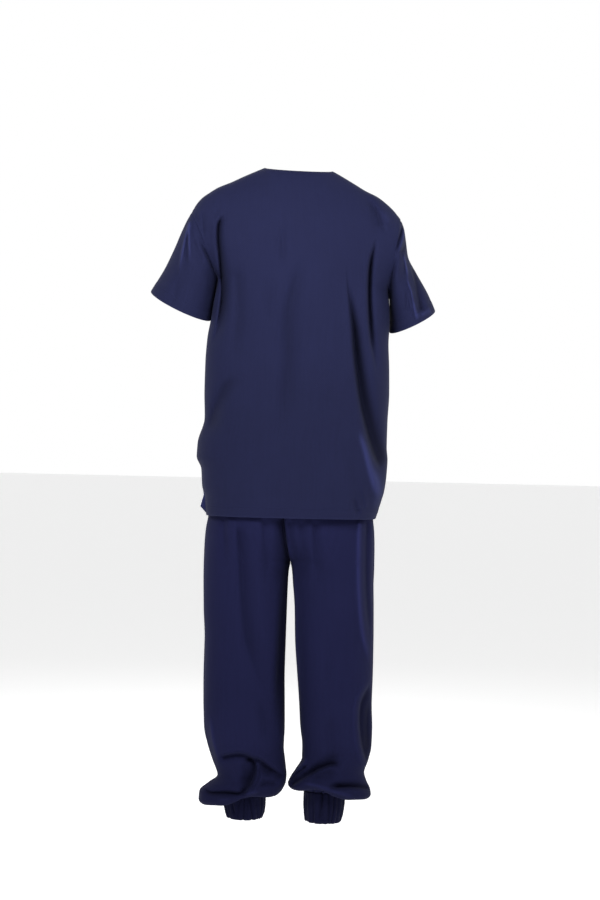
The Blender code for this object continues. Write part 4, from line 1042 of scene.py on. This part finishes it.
def sleeve_sheet(rows, creases, out, seed, armpit, tip):
    t = np.linspace(0, 1, 240)
    # two thirds of the columns are on its back, where the finest folds lie
    phi = 2 * np.pi * np.interp(np.linspace(0, 1, 156, endpoint=False), [0, 0.66, 1], [0, 0.5, 1])
    p = sleeve_tube(rows, t, phi)
    # its first ring follows the body's armhole edge
    tau = (1 + np.cos(phi)) / 2
    hole = np.where(np.sin(phi) > 0, ARMHOLE_BACK, ARMHOLE_FRONT)
    edge = np.stack([armpit[0] + (tip[0] - armpit[0]) * tau,
                     TOP_SIDE_Y + hole * np.sin(phi),
                     armpit[1] + (tip[1] - armpit[1]) * tau], 1)
    pull = np.clip(1 - t / 0.22, 0, 1) ** 2
    p = p + (edge - p[0])[None] * pull[:, None, None]
    inward = edge.mean(0) - p[60].mean(0)
    inward /= np.linalg.norm(inward)
    to_mid = edge.mean(0) - edge
    to_mid /= np.linalg.norm(to_mid, axis=1, keepdims=True)
    tuck = np.array([edge + inward * k * 0.001 + to_mid * g * 0.001
                     for k, g in ((9, 4.2), (6, 3.0), (3, 1.8), (1.2, 0.9))])
    p = np.concatenate([tuck, p])
    p = relaid(p[::-1], [0.0, 0.0008, 0.0020, 0.0045, 0.0090, 0.0140, 0.0185, 0.0208, 0.0219, 0.0226, 0.0233, 0.0242, 0.0258, 0.0285],
               [0.0, 0.0030, 0.0060, 0.0085, 0.0095, 0.0105, 0.0120, 0.0145], 78)
    n = outward(p, True)
    q = seen(p)
    move, fold = crease_move(q, smooth((n[..., 1] + 0.15) / 0.3), creases)
    other = [(a, b * 0.8, c, d, e, f, g, h, [(x - out * 3, z + 7) for x, z in line]) for a, b, c, d, e, f, g, h, line in creases]
    before, fold_before = crease_move(q, smooth((-n[..., 1] - 0.15) / 0.3), other)
    move = (move - before) * 0.001
    d0, d1 = run_lengths(p, 0), run_lengths(p[::-1], 0)[::-1]
    fade = smooth((d1 - 0.008) / 0.010)
    p = p - sight(p) * (move * fade)[..., None] + n * (undulate(p, seed, 0.0004) * fade)[..., None]
    n = outward(p, True)
    p = p + n * (hem_lift(d0, HEM_SLEEVE) + seam_lift(np.abs(d1 - 0.0095), 0.0006))[..., None]
    wear = 0.55 * np.exp(-(d0 / 0.0015) ** 2)
    # colour factor: painted shade in the sleeve's folds and painted highlight on its ridges
    return p, outward(p, True), wear, painted_fold_shading((fold + fold_before) * fade)


sleeve_l, n_sleeve_l, wear, tone = sleeve_sheet(SLEEVE_LEFT_ROWS, SLEEVE_LEFT_CREASES, 1, 21, ARMPIT_LEFT, TIP_LEFT)
sleeve_l_obj = shell("Sleeve_Left", "sleeve_left", TOP_TWILL, sleeve_l, wear, tone, closed=True)
sleeve_r, n_sleeve_r, wear, tone = sleeve_sheet(SLEEVE_RIGHT_ROWS, SLEEVE_RIGHT_CREASES, -1, 22, ARMPIT_RIGHT, TIP_RIGHT)
sleeve_r_obj = shell("Sleeve_Right", "sleeve_right", TOP_TWILL, sleeve_r, wear, tone, closed=True)


# -------------------------------------------------------------- the trousers
def leg_sheet(rows, back, creases, coarse, fine, cols, seed):
    at = stations(1.0, 1.0 / cols, [0.0, 0.0035, 0.0080, 0.0140])
    steps = leg_steps(rows, coarse, fine, -1.255)
    p = leg_panel(rows, back, steps, at)
    # left and right meet along the centre seam down to the crotch
    seam = p[:, -1, 2]
    side = 1.0 if rows[0][1] > 0 else -1.0
    gap = np.interp(seam, CROTCH_Z, CROTCH_X) + side * SEAM - p[:, -1, 0]
    gap *= smooth((seam - CROTCH_Z[0] - 0.0005) / 0.004) * smooth((CROTCH_Z[-1] - seam) / 0.010)
    p[..., 0] += gap[:, None] * smooth(1 - run_lengths(p[:, ::-1], 1)[:, ::-1] / 0.030)
    n = outward(p)
    toward = 1.0 if back else -1.0
    face = smooth((n[..., 1] * toward + 0.15) / 0.35)
    move, fold = crease_move(seen(p), face, creases)
    move *= 0.001
    d1 = run_lengths(p[::-1], 0)[::-1]
    e0, e1 = run_lengths(p, 1), run_lengths(p[:, ::-1], 1)[:, ::-1]
    fade = smooth((np.minimum(e0, e1) + 0.003) / 0.012)
    fade = fade * smooth(e1 / 0.004)
    p = p - sight(p) * (move * fade * smooth((d1 + 0.002) / 0.012) * toward)[..., None] + n * (undulate(p, seed, 0.0011) * fade)[..., None]
    # the seat sinks to the centre seam, softly on the left and sharply on the right; the left leg gets
    # painted shade there and down its inner side, a painted shadow of the right leg in front of it
    height = p[:, :1, 2]
    inner = np.abs(p[..., 0] - p[:, -1:, 0])
    shade = np.ones(p.shape[:2])
    if back:
        sink = np.exp(-(e1 / (0.0110 if side > 0 else 0.0035)) ** 1.8) * smooth((height + 0.875) / 0.03)
        p[..., 1] -= 0.0075 * sink
    if back and side > 0:
        shade -= 0.58 * np.exp(-(inner / 0.0125) ** 1.7) * smooth((height + 1.27) / 0.10)
    # painted light: the right leg's inner edge is painted lighter, up to 2.2 times, where it would show dark
    if back and side < 0:
        shade += 1.2 * np.exp(-(inner / 0.0090) ** 1.6) * smooth((-0.800 - height) / 0.05) * smooth((height + 1.20) / 0.15)
    n = outward(p)
    # gathers into the ankle band, and the groove of the seams
    around = np.linspace(0, 1, p.shape[1])[None, :]
    rng = np.random.default_rng(seed + (50 if back else 60) + (1 if rows[0][1] > 0 else 2))
    ripple = np.zeros((1, p.shape[1]))
    for a, w, d in zip(np.sort(rng.uniform(0.01, 0.99, 13)), rng.uniform(0.012, 0.024, 13), rng.uniform(0.5, 1.0, 13)):
        ripple = ripple - d * np.exp(-((around - a) / w) ** 2)
    ripple = ripple * smooth((0.034 - d1) / 0.026) * 0.0030
    p = p + n * (seam_lift(np.minimum(e0, e1), 0.0007) + ripple)[..., None]
    wear = np.zeros(p.shape[:2])
    # colour factor: painted shade in the folds and in the ankle gathers, painted highlight on ridges, times the painted
    # seat shade
    return p, outward(p), wear, painted_fold_shading(fold + 1500 * ripple) * shade


for side, rows, behind, before in (("Left", LEG_LEFT_ROWS, LEG_LEFT_CREASES, LEG_LEFT_FRONT_CREASES),
                                   ("Right", LEG_RIGHT_ROWS, LEG_RIGHT_CREASES, LEG_RIGHT_FRONT_CREASES)):
    low = side.lower()
    p, n, wear, tone = leg_sheet(rows, True, behind, 0.0046, 0.0017, 126, 31)
    shell("Trouser_Back_" + side, "trouser_back_" + low, LEG_TWILL, p, wear, tone)
    p, n, wear, tone = leg_sheet(rows, False, before, 0.0054, 0.0020, 84, 32)
    shell("Trouser_Front_" + side, "trouser_front_" + low, LEG_TWILL, p, wear, tone)


def gathered(rows, full, count, steps, seed, pleats, depth):
    """An elastic band: gathers of uneven width that lean and run out."""
    p = ring_band(rows, steps, count, full)
    n = outward(p, True)
    rng = np.random.default_rng(seed)
    around = np.linspace(0, 2 * np.pi, count, endpoint=False)[None, :]
    u = np.linspace(0, 1, len(steps))[:, None]
    lift = np.zeros(p.shape[:2])
    step = 2 * np.pi / pleats
    for i in range(pleats):
        place = (i + rng.uniform(-0.3, 0.3)) * step
        lean, wide, deep = rng.uniform(-0.9, 0.9) * step, rng.uniform(0.20, 0.40) * step, rng.uniform(0.35, 1.0)
        begin, end = rng.uniform(-0.6, 0.25), rng.uniform(0.75, 1.6)
        gap = np.angle(np.exp(1j * (around - place - lean * (u - 0.5))))
        lift -= deep * np.exp(-np.abs(gap / wide) ** 1.7) * smooth((u - begin) / 0.25) * smooth((end - u) / 0.25)
    lift *= depth
    d = run_lengths(p, 0)
    return p + n * lift[..., None], d, lift


def band_sheet(name, node, rows, steps, seed, pleats, depth, count, mat):
    p, d, gather = gathered(rows, 2.0 if "cuff" in node else 2.2, count, steps, seed, pleats, depth)
    n = outward(p, True)
    total = d[-1]
    low = total[None, :] - d
    lift = -0.0007 * np.exp(-(d / 0.001) ** 2) - 0.0007 * np.exp(-(low / 0.001) ** 2)
    for row in (0.33, 0.66):
        lift -= 0.0005 * np.exp(-((d - total[None, :] * row) / 0.0011) ** 2)
    p = p + n * lift[..., None]
    wear = 0.5 * np.exp(-(low / 0.0015) ** 2)
    # colour factor: painted shade in the hollows of the gathers
    return shell(name, node, mat, p, wear, painted_fold_shading(gather * 2200), closed=True), p


band_steps = np.linspace(0, 3, 34)
cuff_l_obj, cuff_l = band_sheet("Ankle_Cuff_Left", "ankle_cuff_left", CUFF_LEFT_ROWS, band_steps, 5, 25, 0.0042, 300, CUFF_RIB)
cuff_r_obj, cuff_r = band_sheet("Ankle_Cuff_Right", "ankle_cuff_right", CUFF_RIGHT_ROWS, band_steps, 6, 24, 0.0042, 300, CUFF_RIB)
waist_obj, waist = band_sheet("Waistband", "waistband", WAIST_ROWS, np.linspace(0, 2, 16), 7, 64, 0.0020, 320, LEG_TWILL)

# ------------------------------------------------------------------ stitching
top_runs = []
for p, n in ((top_back, n_back), (top_front, n_front)):
    a, b = along_row(p, n, HEM_TOP - 0.0018)
    top_runs.append((a[2:-2], b[2:-2]))
hem_stitch = stitches("Hem_Stitches", top_runs)
neck_runs = []
for p, n, c in ((top_back, n_back, c_back), (top_front, n_front, c_front)):
    a, b = along_row(p, n, -(HEM_NECK - 0.0018))
    keep = np.abs(c) < NECK_SHARE - 0.01
    neck_runs.append((a[keep], b[keep]))
neck_stitch = stitches("Neck_Stitches", neck_runs)
sleeve_l_stitch = stitches("Sleeve_Left_Stitches", [along_row(sleeve_l, n_sleeve_l, HEM_SLEEVE - 0.0018, True)])
sleeve_r_stitch = stitches("Sleeve_Right_Stitches", [along_row(sleeve_r, n_sleeve_r, HEM_SLEEVE - 0.0018, True)])

# ------------------------------------------------- floor, light and the camera
floor_mesh = bpy.data.meshes.new("Floor")
floor_mesh.from_pydata([(-60, -60, 0), (60, -60, 0), (60, 60, 0), (-60, 60, 0)], [], [(0, 1, 2, 3)])
floor = bpy.data.objects.new("Floor", floor_mesh)
floor.location = (0, 0, -1.547)
floor_mat = bpy.data.materials.new("studio_floor")
floor_mat.use_nodes = True
floor_mat.node_tree.nodes["Principled BSDF"].inputs["Base Color"].default_value = (0.90, 0.90, 0.90, 1)
floor_mat.node_tree.nodes["Principled BSDF"].inputs["Roughness"].default_value = 0.7
floor_mat.node_tree.nodes["Principled BSDF"].inputs["Emission Color"].default_value = (1, 1, 1, 1)
floor_mat.node_tree.nodes["Principled BSDF"].inputs["Emission Strength"].default_value = 0.54
floor_mesh.materials.append(floor_mat)
looks.objects.link(floor)

world = bpy.data.worlds.new("studio")
world.use_nodes = True
sky = world.node_tree
way = sky.nodes.new("ShaderNodeTexCoord")
split = sky.nodes.new("ShaderNodeSeparateXYZ")
fall = sky.nodes.new("ShaderNodeMapRange")
fall.interpolation_type = "SMOOTHSTEP"
fall.inputs["From Min"].default_value = 0.30
fall.inputs["From Max"].default_value = 0.62
fall.inputs["To Min"].default_value = 1.0
fall.inputs["To Max"].default_value = 0.30
behind = sky.nodes.new("ShaderNodeMapRange")
behind.interpolation_type = "SMOOTHSTEP"
behind.inputs["From Min"].default_value = -0.55
behind.inputs["From Max"].default_value = 0.20
behind.inputs["To Min"].default_value = 1.0
behind.inputs["To Max"].default_value = 0.45
product = sky.nodes.new("ShaderNodeMath")
product.operation = "MULTIPLY"
sky.links.new(way.outputs["Generated"], split.inputs["Vector"])
sky.links.new(split.outputs["Z"], fall.inputs["Value"])
sky.links.new(split.outputs["Y"], behind.inputs["Value"])
sky.links.new(fall.outputs["Result"], product.inputs[0])
sky.links.new(behind.outputs["Result"], product.inputs[1])
sky.links.new(product.outputs["Value"], sky.nodes["Background"].inputs["Strength"])
sky.nodes["Background"].inputs["Color"].default_value = (1.0, 1.0, 1.0, 1.0)
bpy.context.scene.world = world


def area_light(name, place, aim, size, power, colour=(1, 1, 1)):
    data = bpy.data.lights.new(name, "AREA")
    data.shape = "RECTANGLE"
    data.size, data.size_y = size
    data.energy = power
    data.color = colour
    obj = bpy.data.objects.new(name, data)
    obj.location = place
    obj.rotation_euler = (Vector(aim) - Vector(place)).to_track_quat("-Z", "Y").to_euler()
    obj.visible_camera = False
    looks.objects.link(obj)
    return obj


area_light("Key", (0.75, 1.50, 0.70), (0, 0, -0.45), (0.8, 0.8), 31)
area_light("Fill", (-0.95, 1.60, 0.45), (0, 0, -0.5), (0.9, 0.9), 23)
area_light("Rim_Left", (2.0, -1.3, 0.2), (0, 0, -0.5), (0.6, 2.0), 8)
area_light("Rim_Right", (-2.0, -0.6, 0.0), (0, 0, -0.6), (0.6, 2.0), 9)
area_light("Front", (0.2, -2.6, 1.2), (0, 0, -0.6), (1.8, 1.4), 22)

camera_data = bpy.data.cameras.new("Photo_Camera")
camera_data.sensor_width = 36.0
camera_data.lens = 81.8
camera = bpy.data.objects.new("Photo_Camera", camera_data)
camera.matrix_world = (Matrix.Translation(EYE) @ Matrix.Rotation(math.pi, 4, "Z")
                       @ Matrix.Rotation(math.pi / 2, 4, "X") @ Matrix.Rotation(ROLL, 4, "Z"))
bpy.context.scene.collection.objects.link(camera)
bpy.context.scene.camera = camera
bpy.context.scene.view_settings.view_transform = "Standard"
